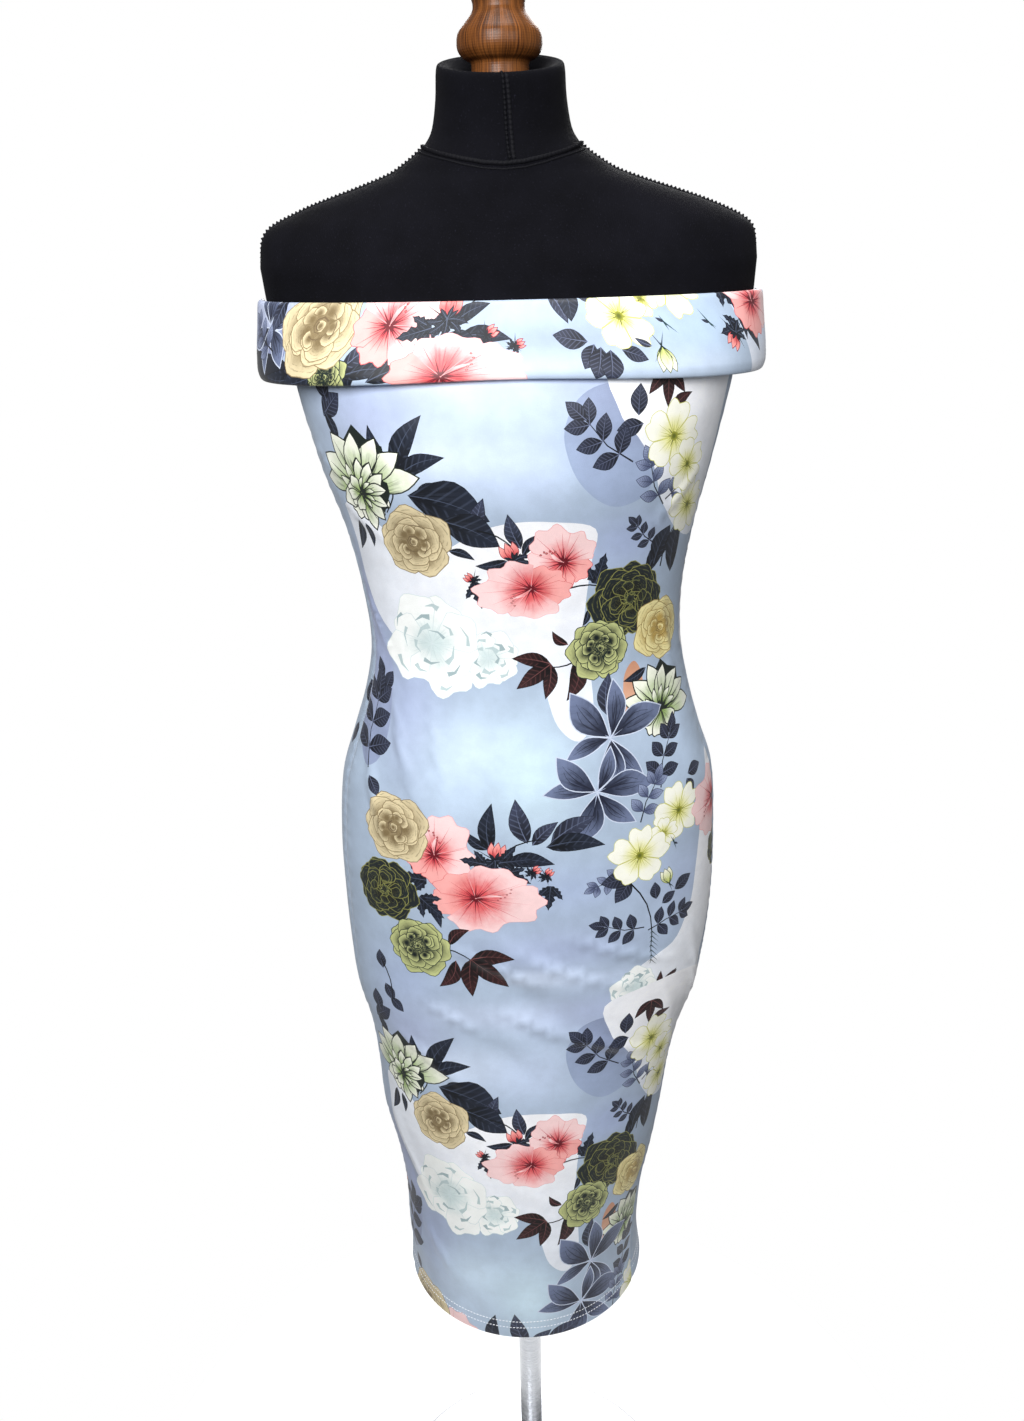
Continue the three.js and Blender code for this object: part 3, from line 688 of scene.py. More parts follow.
def draw_fern(p, x, y, size, turn):
    tip = np.array([x, y]) + heading_vector(turn) * size
    draw_stroke(p, [(x, y), (np.array([x, y]) + tip) / 2, tip], 1.1, LOOKS["fern"][0], 0.6)
    for k in range(7):
        at = np.array([x, y]) + heading_vector(turn) * size * k / 7
        draw_spikes(p, *at, size * 0.34, [turn - 42, turn + 42], LOOKS["fern"][0], 0.9, 0)


def draw_thorns(p, x, y, size, turn):
    """A few small pointed marks beside a bud"""
    draw_spikes(p, x, y, size, [turn, turn + 14, turn + 170, turn - 16], LOOKS["fern"][1], 1.3, 0)
    draw_leaf(p, x, y, size * 0.5, turn - 150, "slate", 0.4, 0)


def draw_stem(p, x, y, size, turn):
    ahead, aside = heading_vector(turn), heading_vector(turn + 90)
    start = np.array([x, y])
    steps = (0, 0.25, 0.5, 0.75, 1)
    points = [start + ahead * size * t + aside * size * 0.1 * math.sin(math.pi * t) for t in steps]
    draw_stroke(p, points, 1.5, LOOKS["navy"][0], 0.3)


DRAW = {
    "tan_rose": partial(draw_rose, name="tan", rings=ROSE_RINGS, line=screen(112, 94, 68)),
    "straw_rose": partial(draw_rose, name="straw", rings=ROSE_RINGS, line=screen(140, 116, 60)),
    "night_rose": partial(draw_rose, name="night", rings=FULL_RINGS, line=screen(96, 102, 62)),
    "moss_rose": partial(draw_rose, name="moss", rings=FULL_RINGS, line=screen(26, 38, 34), shade_from=0.42),
    "ghost_rose": draw_ghost_rose,
    "peony": draw_peony,
    "hibiscus": draw_hibiscus,
    "low_hibiscus": draw_low_hibiscus,
    "wild_rose": draw_wild_rose,
    "lily": draw_lily,
    "bud": draw_bud,
    "cream_bud": draw_cream_bud,
    "spray": draw_spray,
    "mist_spray": partial(draw_spray, name="mist"),
    "slate_leaf": partial(draw_leaf, name="slate", width=0.42, bend=0.06),
    "oval_leaf": partial(draw_leaf, name="oval", width=0.62, bend=0.02, fullness=0.92),
    "navy_leaf": partial(draw_leaf, name="navy", width=0.34, bend=0.09),
    "broad_leaf": partial(draw_leaf, name="navy", width=0.56, bend=0.07, fullness=0.95),
    "lobed_leaf": draw_lobed_leaf,
    "maroon_leaf": partial(draw_leaf, name="maroon", width=0.42, bend=0.16),
    "maroon_trio": draw_maroon_trio,
    "fern": draw_fern,
    "thorns": draw_thorns,
    "stem": draw_stem,
}

# Where the flowers and leaves lie on one repeat of the print: kind, place from the centre front, height,
# size and heading, 0 to the right and 90 up. Later rows lie on earlier ones
PRINT_REPEAT = 570
PRINT_MOTIFS = [
    # the bodice's garland, from the left bust down to the right waist
    ("ghost_rose", -32, 1172, 27, 10),
    ("ghost_rose", -80, 1182, 46, 70),
    ("oval_leaf", -160, 1368, 29, 40),
    ("oval_leaf", -152, 1380, 24, 100),
    ("navy_leaf", -158, 1372, 30, -70),
    ("stem", -97, 1324, 30, 250),
    ("navy_leaf", -99, 1326, 42, 112),
    ("navy_leaf", -96, 1328, 52, 60),
    ("navy_leaf", -94, 1326, 43, 22),
    ("navy_leaf", -80, 1312, 26, 20),
    ("broad_leaf", -86, 1312, 66, -18),
    ("slate_leaf", -34, 1283, 29, 76),
    ("broad_leaf", -62, 1292, 50, -26),
    ("navy_leaf", -58, 1266, 22, -20),
    ("stem", -34, 1284, 32, -30),
    ("navy_leaf", -140, 1286, 30, -105),
    ("navy_leaf", -132, 1284, 22, -80),
    ("peony", -130, 1334, 50, 96),
    ("peony", -118, 1312, 30, 10),
    ("tan_rose", -87, 1272, 29, 20),
    ("slate_leaf", -1, 1268, 31, 106),
    ("navy_leaf", 0, 1262, 24, 50),
    ("navy_leaf", -12, 1258, 26, 190),
    ("lobed_leaf", -38, 1238, 23, -80),
    ("bud", -40, 1240, 9, 140),
    ("bud", -7, 1258, 17, 112),
    ("stem", 36, 1232, 34, -6),
    ("lobed_leaf", 58, 1234, 28, 72),
    ("navy_leaf", 52, 1212, 16, 250),
    ("hibiscus", 32, 1255, 28, 118),
    ("low_hibiscus", 6, 1233, 40, 200),
    ("navy_leaf", 104, 1236, 44, 48),
    ("broad_leaf", 112, 1244, 36, 62),
    ("navy_leaf", 134, 1232, 52, 78),
    ("stem", 120, 1240, 44, 64),
    ("maroon_leaf", 34, 1182, 18, 134),
    ("maroon_leaf", 40, 1168, 36, -104),
    ("stem", 44, 1170, 26, 196),
    ("maroon_trio", 19, 1166, 36, 216),
    ("night_rose", 89, 1216, 32, 30),
    ("moss_rose", 61, 1176, 25, 80),
    ("slate_leaf", 66, 1118, 36, 86),
    ("straw_rose", 122, 1184, 26, 60),
    ("navy_leaf", 104, 1152, 24, 200),
    ("peony", 122, 1130, 42, 80),
    ("maroon_trio", 118, 1398, 26, -92),
    ("maroon_leaf", 122, 1366, 24, 40),
    ("oval_leaf", 92, 1368, 23, 84),
    ("oval_leaf", 96, 1362, 22, 190),
    ("spray", 88, 1334, 49, 138),
    ("mist_spray", 118, 1296, 38, 112),
    ("mist_spray", 120, 1300, 29, 24),
    ("spray", 112, 1262, 27, 134),
    ("wild_rose", 150, 1290, 26, 100),
    ("wild_rose", 124, 1350, 28, 80),
    ("wild_rose", 142, 1326, 22, 30),
    # the hip's garland, from the right waist down to the left hip
    ("oval_leaf", -134, 1132, 20, 60),
    ("oval_leaf", -138, 1140, 19, 110),
    ("spray", -150, 1062, 63, 84),
    ("oval_leaf", -148, 1056, 19, -60),
    ("lily", 70, 1098, 52, 20),
    ("lily", 58, 1052, 50, 250),
    ("spray", 118, 1046, 45, 74),
    ("oval_leaf", 150, 1050, 20, 10),
    ("oval_leaf", 148, 1046, 18, -60),
    ("mist_spray", 98, 1018, 38, 66),
    ("slate_leaf", 18, 1008, 45, 30),
    ("navy_leaf", 14, 1004, 52, -2),
    ("slate_leaf", -2, 1008, 43, 104),
    ("slate_leaf", 2, 1006, 31, 44),
    ("stem", -28, 994, 40, 26),
    ("navy_leaf", -34, 1000, 46, 88),
    ("navy_leaf", -36, 1002, 28, 140),
    ("navy_leaf", -22, 990, 44, -4),
    ("lobed_leaf", 18, 966, 25, -96),
    ("bud", 14, 976, 9, 50),
    ("bud", 2, 980, 9, 30),
    ("bud", -30, 992, 18, 80),
    ("lobed_leaf", -92, 968, 30, 180),
    ("stem", -86, 968, 46, -4),
    ("hibiscus", -84, 994, 34, 60),
    ("lobed_leaf", -26, 990, 30, 6),
    ("lobed_leaf", -20, 980, 24, -28),
    ("lobed_leaf", -38, 988, 24, 170),
    ("low_hibiscus", -48, 954, 52, -14),
    ("tan_rose", -123, 1014, 31, 100),
    ("navy_leaf", -92, 944, 26, -64),
    ("lobed_leaf", -100, 950, 30, -40),
    ("night_rose", -136, 950, 30, 200),
    ("maroon_leaf", -74, 904, 26, 42),
    ("maroon_leaf", -68, 888, 34, -118),
    ("stem", -88, 900, 38, -16),
    ("maroon_trio", -54, 892, 46, -42),
    ("moss_rose", -104, 898, 28, 150),
    ("oval_leaf", -144, 862, 20, 100),
    ("oval_leaf", -142, 846, 20, -60),
    ("oval_leaf", -136, 832, 19, -40),
    ("stem", -146, 872, 44, -74),
    ("mist_spray", 84, 974, 29, 206),
    ("oval_leaf", 88, 968, 26, 190),
    ("oval_leaf", 90, 964, 26, 236),
    ("wild_rose", 138, 1020, 28, 110),
    ("wild_rose", 122, 1002, 16, 20),
    ("wild_rose", 98, 986, 30, 160),
    ("thorns", 134, 990, 10, 120),
    ("cream_bud", 130, 950, 18, 110),
    ("oval_leaf", 136, 942, 22, 26),
    ("oval_leaf", 116, 938, 18, 96),
    ("oval_leaf", 122, 932, 17, 30),
    ("stem", 90, 960, 58, -68),
    ("spray", 104, 912, 38, 168),
    ("spray", 108, 908, 38, 12),
    ("fern", 112, 906, 35, -90),
    ("maroon_trio", 126, 836, 26, 48),
    ("maroon_leaf", 132, 826, 30, 66),
    ("ghost_rose", 98, 848, 24, 40),
    ("hibiscus", 196, 1012, 34, 170),
    ("night_rose", 206, 960, 20, 40),
]

# Sprays on the back panel's left side, beside its garland, with places from the centre back
SIDE_MOTIFS = [
    ("stem", 212, 1286, 62, 82),
    ("slate_leaf", 214, 1298, 40, 132),
    ("slate_leaf", 218, 1314, 38, 42),
    ("navy_leaf", 220, 1340, 44, 98),
    ("oval_leaf", 226, 1120, 26, 58),
    ("oval_leaf", 222, 1112, 24, 122),
    ("oval_leaf", 224, 1090, 24, -70),
    ("bud", 222, 1128, 18, 84),
]

# Painted patches of the ground on one repeat: colours at the root and at the tip, heading, and the points of
# a smooth outline
WHITE = screen(250, 251, 255)
HAZE = screen(236, 241, 250)
PALE = screen(196, 212, 240)
LAVENDER = screen(142, 154, 184)
PEACH = screen(226, 178, 150)
PRINT_PATCHES = [
    (WHITE, HAZE, 250, [(-152, 1300), (-154, 1262), (-148, 1222), (-124, 1186), (-60, 1150), (-18, 1166),
                        (6, 1172), (14, 1142), (24, 1112), (42, 1098), (54, 1116), (52, 1158), (48, 1196),
                        (54, 1250), (58, 1282), (24, 1290), (-8, 1290), (-36, 1282), (-60, 1268),
                        (-92, 1270)]),
    (LAVENDER, screen(158, 174, 204), 250, [(35, 1360), (46, 1382), (68, 1392), (98, 1388), (112, 1350),
                                           (104, 1312), (84, 1300), (66, 1302), (48, 1318), (38, 1338)]),
    (WHITE, HAZE, 270, [(76, 1410), (77, 1372), (92, 1352), (106, 1330), (118, 1296), (140, 1268),
                        (170, 1262), (186, 1300), (184, 1410)]),
    (PEACH, screen(206, 150, 120), 90, [(82, 1146), (92, 1160), (100, 1146), (98, 1122), (84, 1112)]),
    (WHITE, HAZE, 220, [(190, 1060), (172, 1010), (164, 960), (156, 918), (134, 888), (104, 872), (92, 850),
                        (96, 822), (120, 812), (160, 830), (196, 880), (204, 980)]),
    (LAVENDER, screen(176, 188, 222), 80, [(-172, 1180), (-150, 1200), (-128, 1170), (-124, 1130),
                                          (-134, 1080), (-156, 1064), (-172, 1100)]),
]

# Soft changes of the ground on one repeat: place, half size across and up, colour and strength. The palest
# spots, on the bodice and at the waist, are painted highlights of the cloth's sheen, and the thin pale
# streaks across the lap are painted highlights on its creases; the others change the ground's tone in places
GROUND = screen(172, 189, 210)
PRINT_TONE_AND_SHEEN_SPOTS = [
    (-60, 1340, 60, 24, screen(214, 228, 250), 0.8),
    (6, 1336, 40, 34, screen(206, 222, 250), 0.7),
    (-116, 1372, 42, 26, screen(176, 184, 218), 0.6),
    (40, 1400, 60, 18, screen(208, 222, 248), 0.6),
    (84, 1268, 40, 26, screen(168, 182, 220), 0.7),
    (-150, 1200, 30, 60, screen(160, 168, 206), 0.7),
    (-104, 1120, 34, 60, screen(162, 172, 208), 0.6),
    (-50, 1090, 40, 30, screen(212, 232, 250), 0.8),
    (4, 1068, 36, 44, screen(214, 238, 252), 0.85),
    (-66, 1050, 30, 30, screen(206, 226, 248), 0.6),
    (140, 1090, 30, 40, screen(200, 220, 246), 0.6),
    (40, 960, 60, 26, screen(176, 192, 226), 0.6),
    (150, 950, 40, 40, screen(182, 196, 228), 0.6),
    (20, 900, 80, 24, screen(172, 184, 218), 0.7),
    (6, 872, 36, 9, screen(214, 226, 248), 0.7),
    (66, 866, 40, 8, screen(206, 220, 246), 0.6),
    (-120, 856, 40, 40, screen(170, 184, 220), 0.5),
    (60, 830, 50, 22, screen(164, 176, 212), 0.6),
    (-40, 830, 60, 14, screen(206, 218, 244), 0.6),
]

# The collar's print: place from the centre front along the fold, and height from the fold, negative down
COLLAR_MOTIFS = [
    ("lily", -196, -18, 34, 200),
    ("slate_leaf", -184, 4, 30, 250),
    ("mist_spray", -186, -34, 34, 150),
    ("navy_leaf", -150, -48, 46, 184),
    ("broad_leaf", -128, -44, 44, 196),
    ("broad_leaf", -104, -40, 36, 218),
    ("navy_leaf", -116, -50, 40, 4),
    ("slate_leaf", -116, -46, 30, 40),
    ("navy_leaf", -96, -54, 44, 12),
    ("moss_rose", -128, -50, 15, 20),
    ("tan_rose", -144, -16, 31, 30),
    ("navy_leaf", -66, -2, 30, 140),
    ("broad_leaf", -62, 10, 34, -56),
    ("lobed_leaf", -66, -28, 26, -12),
    ("broad_leaf", -98, -30, 26, -24),
    ("hibiscus", -90, -16, 33, 40),
    ("stem", -34, -6, 44, 34),
    ("navy_leaf", 2, 18, 40, -10),
    ("navy_leaf", 4, 14, 34, 22),
    ("navy_leaf", -46, -18, 34, 28),
    ("navy_leaf", -40, -26, 40, -2),
    ("broad_leaf", -50, -24, 30, -24),
    ("lobed_leaf", -58, -18, 26, 196),
    ("lobed_leaf", -12, -40, 24, -72),
    ("bud", -18, -24, 10, 34),
    ("bud", -48, -12, 20, 84),
    ("bud", 2, -32, 8, 20),
    ("low_hibiscus", -46, -52, 46, 14),
    ("slate_leaf", 30, 6, 26, -64),
    ("broad_leaf", 42, 12, 28, -86),
    ("oval_leaf", 52, 8, 18, -40),
    ("slate_leaf", 68, 14, 44, -34),
    ("oval_leaf", 52, -30, 24, 168),
    ("oval_leaf", 56, -32, 20, 240),
    ("oval_leaf", 60, -34, 24, 252),
    ("oval_leaf", 66, -36, 24, -100),
    ("oval_leaf", 74, -36, 18, -24),
    ("wild_rose", 128, 8, 24, 60),
    ("wild_rose", 102, -2, 13, 200),
    ("wild_rose", 80, -13, 25, 100),
    ("thorns", 112, -18, 12, -60),
    ("thorns", 148, -20, 12, -52),
    ("cream_bud", 103, -34, 19, -88),
    ("slate_leaf", 96, -34, 12, 150),
    ("lobed_leaf", 170, 6, 24, -60),
    ("navy_leaf", 178, -8, 26, -80),
    ("lobed_leaf", 176, -24, 22, 190),
    ("bud", 170, -28, 14, 230),
    ("navy_leaf", 182, -20, 30, -50),
    ("hibiscus", 200, -8, 30, 60),
]
COLLAR_PATCHES = [
    (PALE, HAZE, 270, [(170, 14), (200, 12), (240, 4), (240, -70), (190, -66), (182, -40), (176, -14)]),
    (screen(196, 206, 232), screen(120, 128, 166), 270, [(-250, 10), (-176, 12), (-172, -20), (-178, -44),
                                                         (-250, -50)]),
    (screen(30, 34, 46), screen(16, 22, 30), 270, [(-250, -40), (-186, -36), (-160, -44), (-132, -52),
                                                   (-120, -76), (-250, -84)]),
]
# The collar's soft changes of the ground: place, half size across and up, colour and strength. The thin pale
# spots low on the outer layer are painted highlights along the collar's lower roll; the others change its
# tone
COLLAR_TONE_AND_SHEEN_SPOTS = [
    (40, -28, 50, 12, screen(150, 164, 196), 0.7),
    (20, -46, 50, 8, screen(192, 206, 230), 0.7),
    (134, -22, 34, 20, screen(176, 198, 222), 0.7),
    (130, -46, 40, 8, screen(200, 214, 234), 0.6),
    (6, -6, 40, 10, screen(186, 202, 228), 0.5),
]


def curve_through(a, b, c, d, steps):
    """Smooth runs from each b to its c, with a before them and d after"""
    t = np.linspace(0, 1, steps, endpoint=False)[None, :, None]
    a, b, c, d = (part[:, None] for part in (a, b, c, d))
    curve = 0.5 * (2 * b + (c - a) * t + (2 * a - 5 * b + 4 * c - d) * t**2 + (3 * b - a - 3 * c + d) * t**3)
    return curve.reshape(-1, a.shape[-1])


def smooth_loop(points, steps=5):
    """A closed smooth curve through points"""
    p = np.asarray(points, float)
    return curve_through(*(np.roll(p, k, 0) for k in (1, 0, -1, -2)), steps)


def smooth_path(points, steps):
    """An open smooth curve through points"""
    p = np.asarray(points, float)
    p = np.concatenate([2 * p[:1] - p[1:2], p, 2 * p[-1:] - p[-2:-1]])
    return np.concatenate([curve_through(p[:-3], p[1:-2], p[2:-1], p[3:], steps), p[-2:-1]])


def closed_run(*sides):
    """One closed outline from sides of x and y, each without its last point, where the next one starts"""
    return np.concatenate([np.stack(np.broadcast_arrays(x, y), -1)[:-1] for x, y in sides])


def draw_print(patches, motifs):
    p = Print()
    for root_colour, tip_colour, heading, points in patches:
        outline = smooth_loop(points)
        middle = outline.mean(0)
        ahead = heading_vector(heading)
        along = (outline - middle) @ ahead
        root = middle + ahead * along.min()
        look = (root_colour, tip_colour, tip_colour, STILL)
        p.paint(outline, look, root, heading, along.max() - along.min())
    for kind, x, y, size, turn in motifs:
        DRAW[kind](p, x, y, size, turn)
    return p


def ground_tone_and_sheen(points, tone_and_sheen_spots, repeat):
    """The cloth's base colour at places, with the spots' soft tones and their painted sheen highlights"""
    colour = np.broadcast_to(np.array(GROUND), (len(points), 3)).copy()
    for x, y, across, up, spot, strength in tone_and_sheen_spots:
        for shift in (0, -repeat, repeat) if repeat else (0,):
            away = ((points[:, 0] - x) / across) ** 2 + ((points[:, 1] - y - shift) / up) ** 2
            share = (strength * np.exp(-away))[:, None]
            colour = colour * (1 - share) + np.array(spot) * share
    return colour


POINTS_AT_ONCE = 4000
ROW_POINTS = 70
WELD_DISTANCE = 1e-5
REVERSE_COARSER = 1.25
PRINT_MARGIN, REVERSE_MARGIN = 2.0, 5.0
PHASE_STEP = 0.618


def contains(loop, points):
    """Which points lie inside a closed loop, a few thousand at a time"""
    if len(points) > POINTS_AT_ONCE:
        parts = np.array_split(points, len(points) // POINTS_AT_ONCE + 1)
        return np.concatenate([contains(loop, part) for part in parts])
    a, b = loop, np.roll(loop, -1, 0)
    crosses = (a[:, 1] > points[:, None, 1]) != (b[:, 1] > points[:, None, 1])
    with np.errstate(divide="ignore", invalid="ignore"):
        at = a[:, 0] + (points[:, None, 1] - a[:, 1]) * (b[:, 0] - a[:, 0]) / (b[:, 1] - a[:, 1])
    return (crosses & (points[:, None, 0] < at)).sum(1) % 2 == 1


def triangulate(loop, outlines, inner, rows=()):
    """Triangles inside a loop that follow its outlines and level rows, with the top shape of each or 0"""
    points = [Vector(q) for part in (loop, *outlines, inner) for q in part]
    edges, start = [], len(loop)
    for outline in outlines:
        count = len(outline)
        edges += [(start + i, start + (i + 1) % count) for i in range(count)]
        start += count
    across = np.linspace(loop[:, 0].min(), loop[:, 0].max(), ROW_POINTS)
    for height in rows:
        edges += [(len(points) + i, len(points) + i + 1) for i in range(len(across) - 1)]
        points += [Vector((x, height)) for x in across]
    made = delaunay_2d_cdt(points, edges, [list(range(len(loop)))], 1, WELD_DISTANCE, False)
    everywhere = np.array([tuple(q) for q in made[0]])
    triangles = np.array(made[2])
    triangles = triangles[contains(loop, everywhere[triangles].mean(1))]
    used, triangles = np.unique(triangles, return_inverse=True)
    flat, triangles = everywhere[used], triangles.reshape(-1, 3)
    middles = flat[triangles].mean(1)
    upward = np.argsort(middles[:, 1])
    heights = middles[upward, 1]
    owners = np.zeros(len(triangles), int)
    for i, outline in enumerate(outlines, 1):
        (left, low), (right, high) = outline.min(0), outline.max(0)
        near = upward[np.searchsorted(heights, low) : np.searchsorted(heights, high)]
        near = near[(middles[near, 0] > left) & (middles[near, 0] < right)]
        owners[near[contains(outline, middles[near])]] = i
    return flat, triangles, owners


def rim_loop(triangles):
    """The boundary of a set of triangles, as one closed run of points"""
    edges = {(int(t[i]), int(t[(i + 1) % 3])) for t in triangles for i in range(3)}
    following = {a: b for a, b in edges if (b, a) not in edges}
    first = min(following)
    run, at = [first], following[first]
    while at != first:
        run.append(at)
        at = following[at]
    return run


def grid_points(loop, spacing, margin):
    """Points of an even grid that lie inside a loop"""
    low, high = loop.min(0) + margin, loop.max(0) - margin
    x, y = np.meshgrid(np.arange(low[0], high[0], spacing), np.arange(low[1], high[1], spacing))
    x[1::2] += spacing / 2
    points = np.stack([x.ravel(), y.ravel()], -1)
    return points[contains(loop, points)]


def place_normals(place, flat, side):
    step = 0.6
    across = place(flat + [step, 0], side) - place(flat - [step, 0], side)
    up = place(flat + [0, step], side) - place(flat - [0, step], side)
    return unit(np.cross(across, up)) * side


def make_mesh(name, points, faces, normals, material, smooth=True):
    """A mesh in metres, with a normal for each corner where they are given"""
    mesh = bpy.data.meshes.new(name)
    mesh.from_pydata((np.asarray(points) * MM).tolist(), [], faces)
    mesh.update()
    if smooth:
        mesh.shade_smooth()
    if normals is not None:
        mesh.normals_split_custom_set(normals.tolist())
    mesh.materials.append(material)
    made = bpy.data.objects.new(name, mesh)
    bpy.context.scene.collection.objects.link(made)
    return made


REVERSE = screen(226, 230, 240)


def cloth_piece(name, loop, place, artwork, tone_and_sheen_spots, repeat, spacing, extra, material, rows=()):
    """A closed thin piece of cloth; place() puts flat points on its printed side, 1, or its reverse, -1"""
    inner = np.concatenate([grid_points(loop, spacing, PRINT_MARGIN), extra])
    low, high = loop.min(0), loop.max(0)
    near = [i for i, o in enumerate(artwork.outlines) if (o.max(0) > low).all() and (o.min(0) < high).all()]
    flat, triangles, owners = triangulate(loop, [artwork.outlines[i] for i in near], inner, rows)
    rim = rim_loop(triangles)
    coarse = grid_points(loop, REVERSE_COARSER * spacing, REVERSE_MARGIN)
    back_flat, back_triangles, _ = triangulate(flat[rim], [], coarse, rows)
    # the reverse's own points, matched to the rim's by place
    order = {tuple(np.round(q, 3)): i for i, q in enumerate(back_flat)}
    back_rim = [order[tuple(np.round(flat[v], 3))] for v in rim]
    outer = place(flat, 1)
    reverse = place(back_flat, -1)
    shift = len(outer)
    turned = back_triangles[:, ::-1] + shift
    ahead = rim[1:] + rim[:1]
    back_ahead = back_rim[1:] + back_rim[:1]
    sides = [(a, c + shift, d + shift, b) for a, b, c, d in zip(rim, ahead, back_rim, back_ahead)]
    points = np.concatenate([outer, reverse])
    side_array = np.array(sides)
    side_normals = unit(np.cross(points[side_array[:, 2]] - points[side_array[:, 0]],
                                 points[side_array[:, 3]] - points[side_array[:, 1]]))
    normals = np.concatenate([
        place_normals(place, flat, 1)[triangles].reshape(-1, 3),
        -place_normals(place, back_flat, 1)[back_triangles[:, ::-1]].reshape(-1, 3),
        np.repeat(side_normals, 4, 0),
    ])
    faces = triangles.tolist() + turned.tolist() + [list(s) for s in sides]
    made = make_mesh(name, points, faces, normals, material)
    # the base colour: the plain ground with the spots' tones and their painted sheen highlights
    ground_and_sheen = ground_tone_and_sheen(flat, tone_and_sheen_spots, repeat)
    plain_corners = len(back_triangles) * 3 + len(sides) * 4
    paint_corners(made.data, artwork, near, flat, triangles, owners, ground_and_sheen, plain_corners)
    return made


def paint_corners(mesh, artwork, near, flat, triangles, owners, ground_and_sheen, rest):
    """The print, with the painted sheen highlights of its base colour, as attributes of each corner, with the
    rest, on the reverse and the edges, left plain
    """
    corners = triangles.reshape(-1)
    at = flat[corners]
    owner = np.repeat(owners, 3)
    ground_and_sheen = ground_and_sheen[corners]
    base, tip, mark, strength = ground_and_sheen.copy(), ground_and_sheen.copy(), ground_and_sheen.copy(), np.zeros((len(at), 3))
    local = np.zeros((len(at), 2))
    looks = [artwork.looks[i] for i in near]
    if looks:
        table = np.array([[*look[0], *look[1], *look[2], *look[3]] for look in looks])
        roots = np.array([artwork.roots[i] for i in near])
        drawn = owner > 0
        rows = table[owner[drawn] - 1]
        for values, columns in zip((base, tip, mark, strength), np.split(rows, 4, axis=1)):
            values[drawn] = columns
        root = roots[owner[drawn] - 1]
        away = at[drawn] - root[:, :2]
        along = (away * root[:, 2:4]).sum(1) / root[:, 4]
        across = (away[:, 1] * root[:, 2] - away[:, 0] * root[:, 3]) / root[:, 4]
        local[drawn] = np.stack([across, along], -1)
    plain = np.broadcast_to(np.array(REVERSE), (rest, 3))
    opaque = np.ones((len(at) + rest, 1))
    phase = np.concatenate([np.mod(owner * PHASE_STEP, 1.0), np.zeros(rest)])[:, None]
    for name, values in (("print_base", base), ("print_tip", tip), ("print_mark", mark)):
        write_colour(mesh, name, np.concatenate([np.concatenate([values, plain]), opaque], 1))
    strengths = np.concatenate([strength, np.zeros((rest, 3))])
    write_colour(mesh, "print_lines", np.concatenate([strengths, phase], 1))
    write_uv(mesh, "motif", np.concatenate([local, np.zeros((rest, 2))]))
    write_uv(mesh, "cloth", np.concatenate([at, np.zeros((rest, 2))]) * MM)


def write_colour(mesh, name, values):
    layer = mesh.attributes.new(name, "FLOAT_COLOR", "CORNER")
    layer.data.foreach_set("color", values.astype(np.float32).ravel())


def write_uv(mesh, name, values):
    layer = mesh.uv_layers.new(name=name)
    layer.uv.foreach_set("vector", values.astype(np.float32).ravel())


# Materials


class Graph:
    """Builds a material's nodes in few words"""

    def __init__(self, name):
        self.material = bpy.data.materials.new(name)
        self.material.use_nodes = True
        self.tree = self.material.node_tree
        self.shader = self.tree.nodes["Principled BSDF"]

    def node(self, kind, inputs=None, **settings):
        made = self.tree.nodes.new(kind)
        for key, value in settings.items():
            setattr(made, key, value)
        for key, value in (inputs or {}).items():
            self.give(made.inputs[key], value)
        return made

    def give(self, socket, value):
        if isinstance(value, bpy.types.NodeSocket):
            self.tree.links.new(value, socket)
        elif isinstance(value, (tuple, list)) and len(value) == 3 and socket.type == "RGBA":
            socket.default_value = (*value, 1)
        else:
            socket.default_value = value

    def math(self, operation, a, b=0.0, c=0.0):
        return self.node("ShaderNodeMath", {0: a, 1: b, 2: c}, operation=operation).outputs[0]

    def times(self, a, b):
        return self.math("MULTIPLY", a, b)

    def plus(self, a, b):
        return self.math("ADD", a, b)

    def sine(self, value, factor):
        return self.math("SINE", self.times(value, factor))

    def mix(self, share, a, b, blend="MIX"):
        made = self.node("ShaderNodeMix", data_type="RGBA", blend_type=blend)
        self.give(made.inputs[0], share)
        self.give(made.inputs[6], a)
        self.give(made.inputs[7], b)
        return made.outputs[2]

    def ramp(self, value, low, high, to_low=0.0, to_high=1.0):
        inputs = {"Value": value, "From Min": low, "From Max": high, "To Min": to_low, "To Max": to_high}
        return self.node("ShaderNodeMapRange", inputs, interpolation_type="SMOOTHSTEP").outputs[0]

    def noise(self, vector, scale, detail=2.0, roughness=0.5):
        inputs = {"Vector": vector, "Scale": scale, "Detail": detail, "Roughness": roughness}
        return self.node("ShaderNodeTexNoise", inputs).outputs[0]

    def attribute(self, name):
        return self.node("ShaderNodeAttribute", attribute_name=name)

    def uv(self, name):
        return self.node("ShaderNodeUVMap", uv_map=name).outputs[0]

    def object_place(self):
        return self.node("ShaderNodeTexCoord").outputs["Object"]

    def split(self, vector):
        return self.node("ShaderNodeSeparateXYZ", {0: vector}).outputs

    def join(self, x, y, z):
        return self.node("ShaderNodeCombineXYZ", {0: x, 1: y, 2: z}).outputs[0]

    def bump(self, height, strength, distance, normal=None):
        inputs = {"Height": height, "Strength": strength, "Distance": distance}
        if normal is not None:
            inputs["Normal"] = normal
        return self.node("ShaderNodeBump", inputs).outputs[0]

    def surface(self, values):
        """Gives the shader's sockets their values, by name, and returns the finished material"""
        for name, value in values.items():
            self.give(self.shader.inputs[name], value)
        return self.material


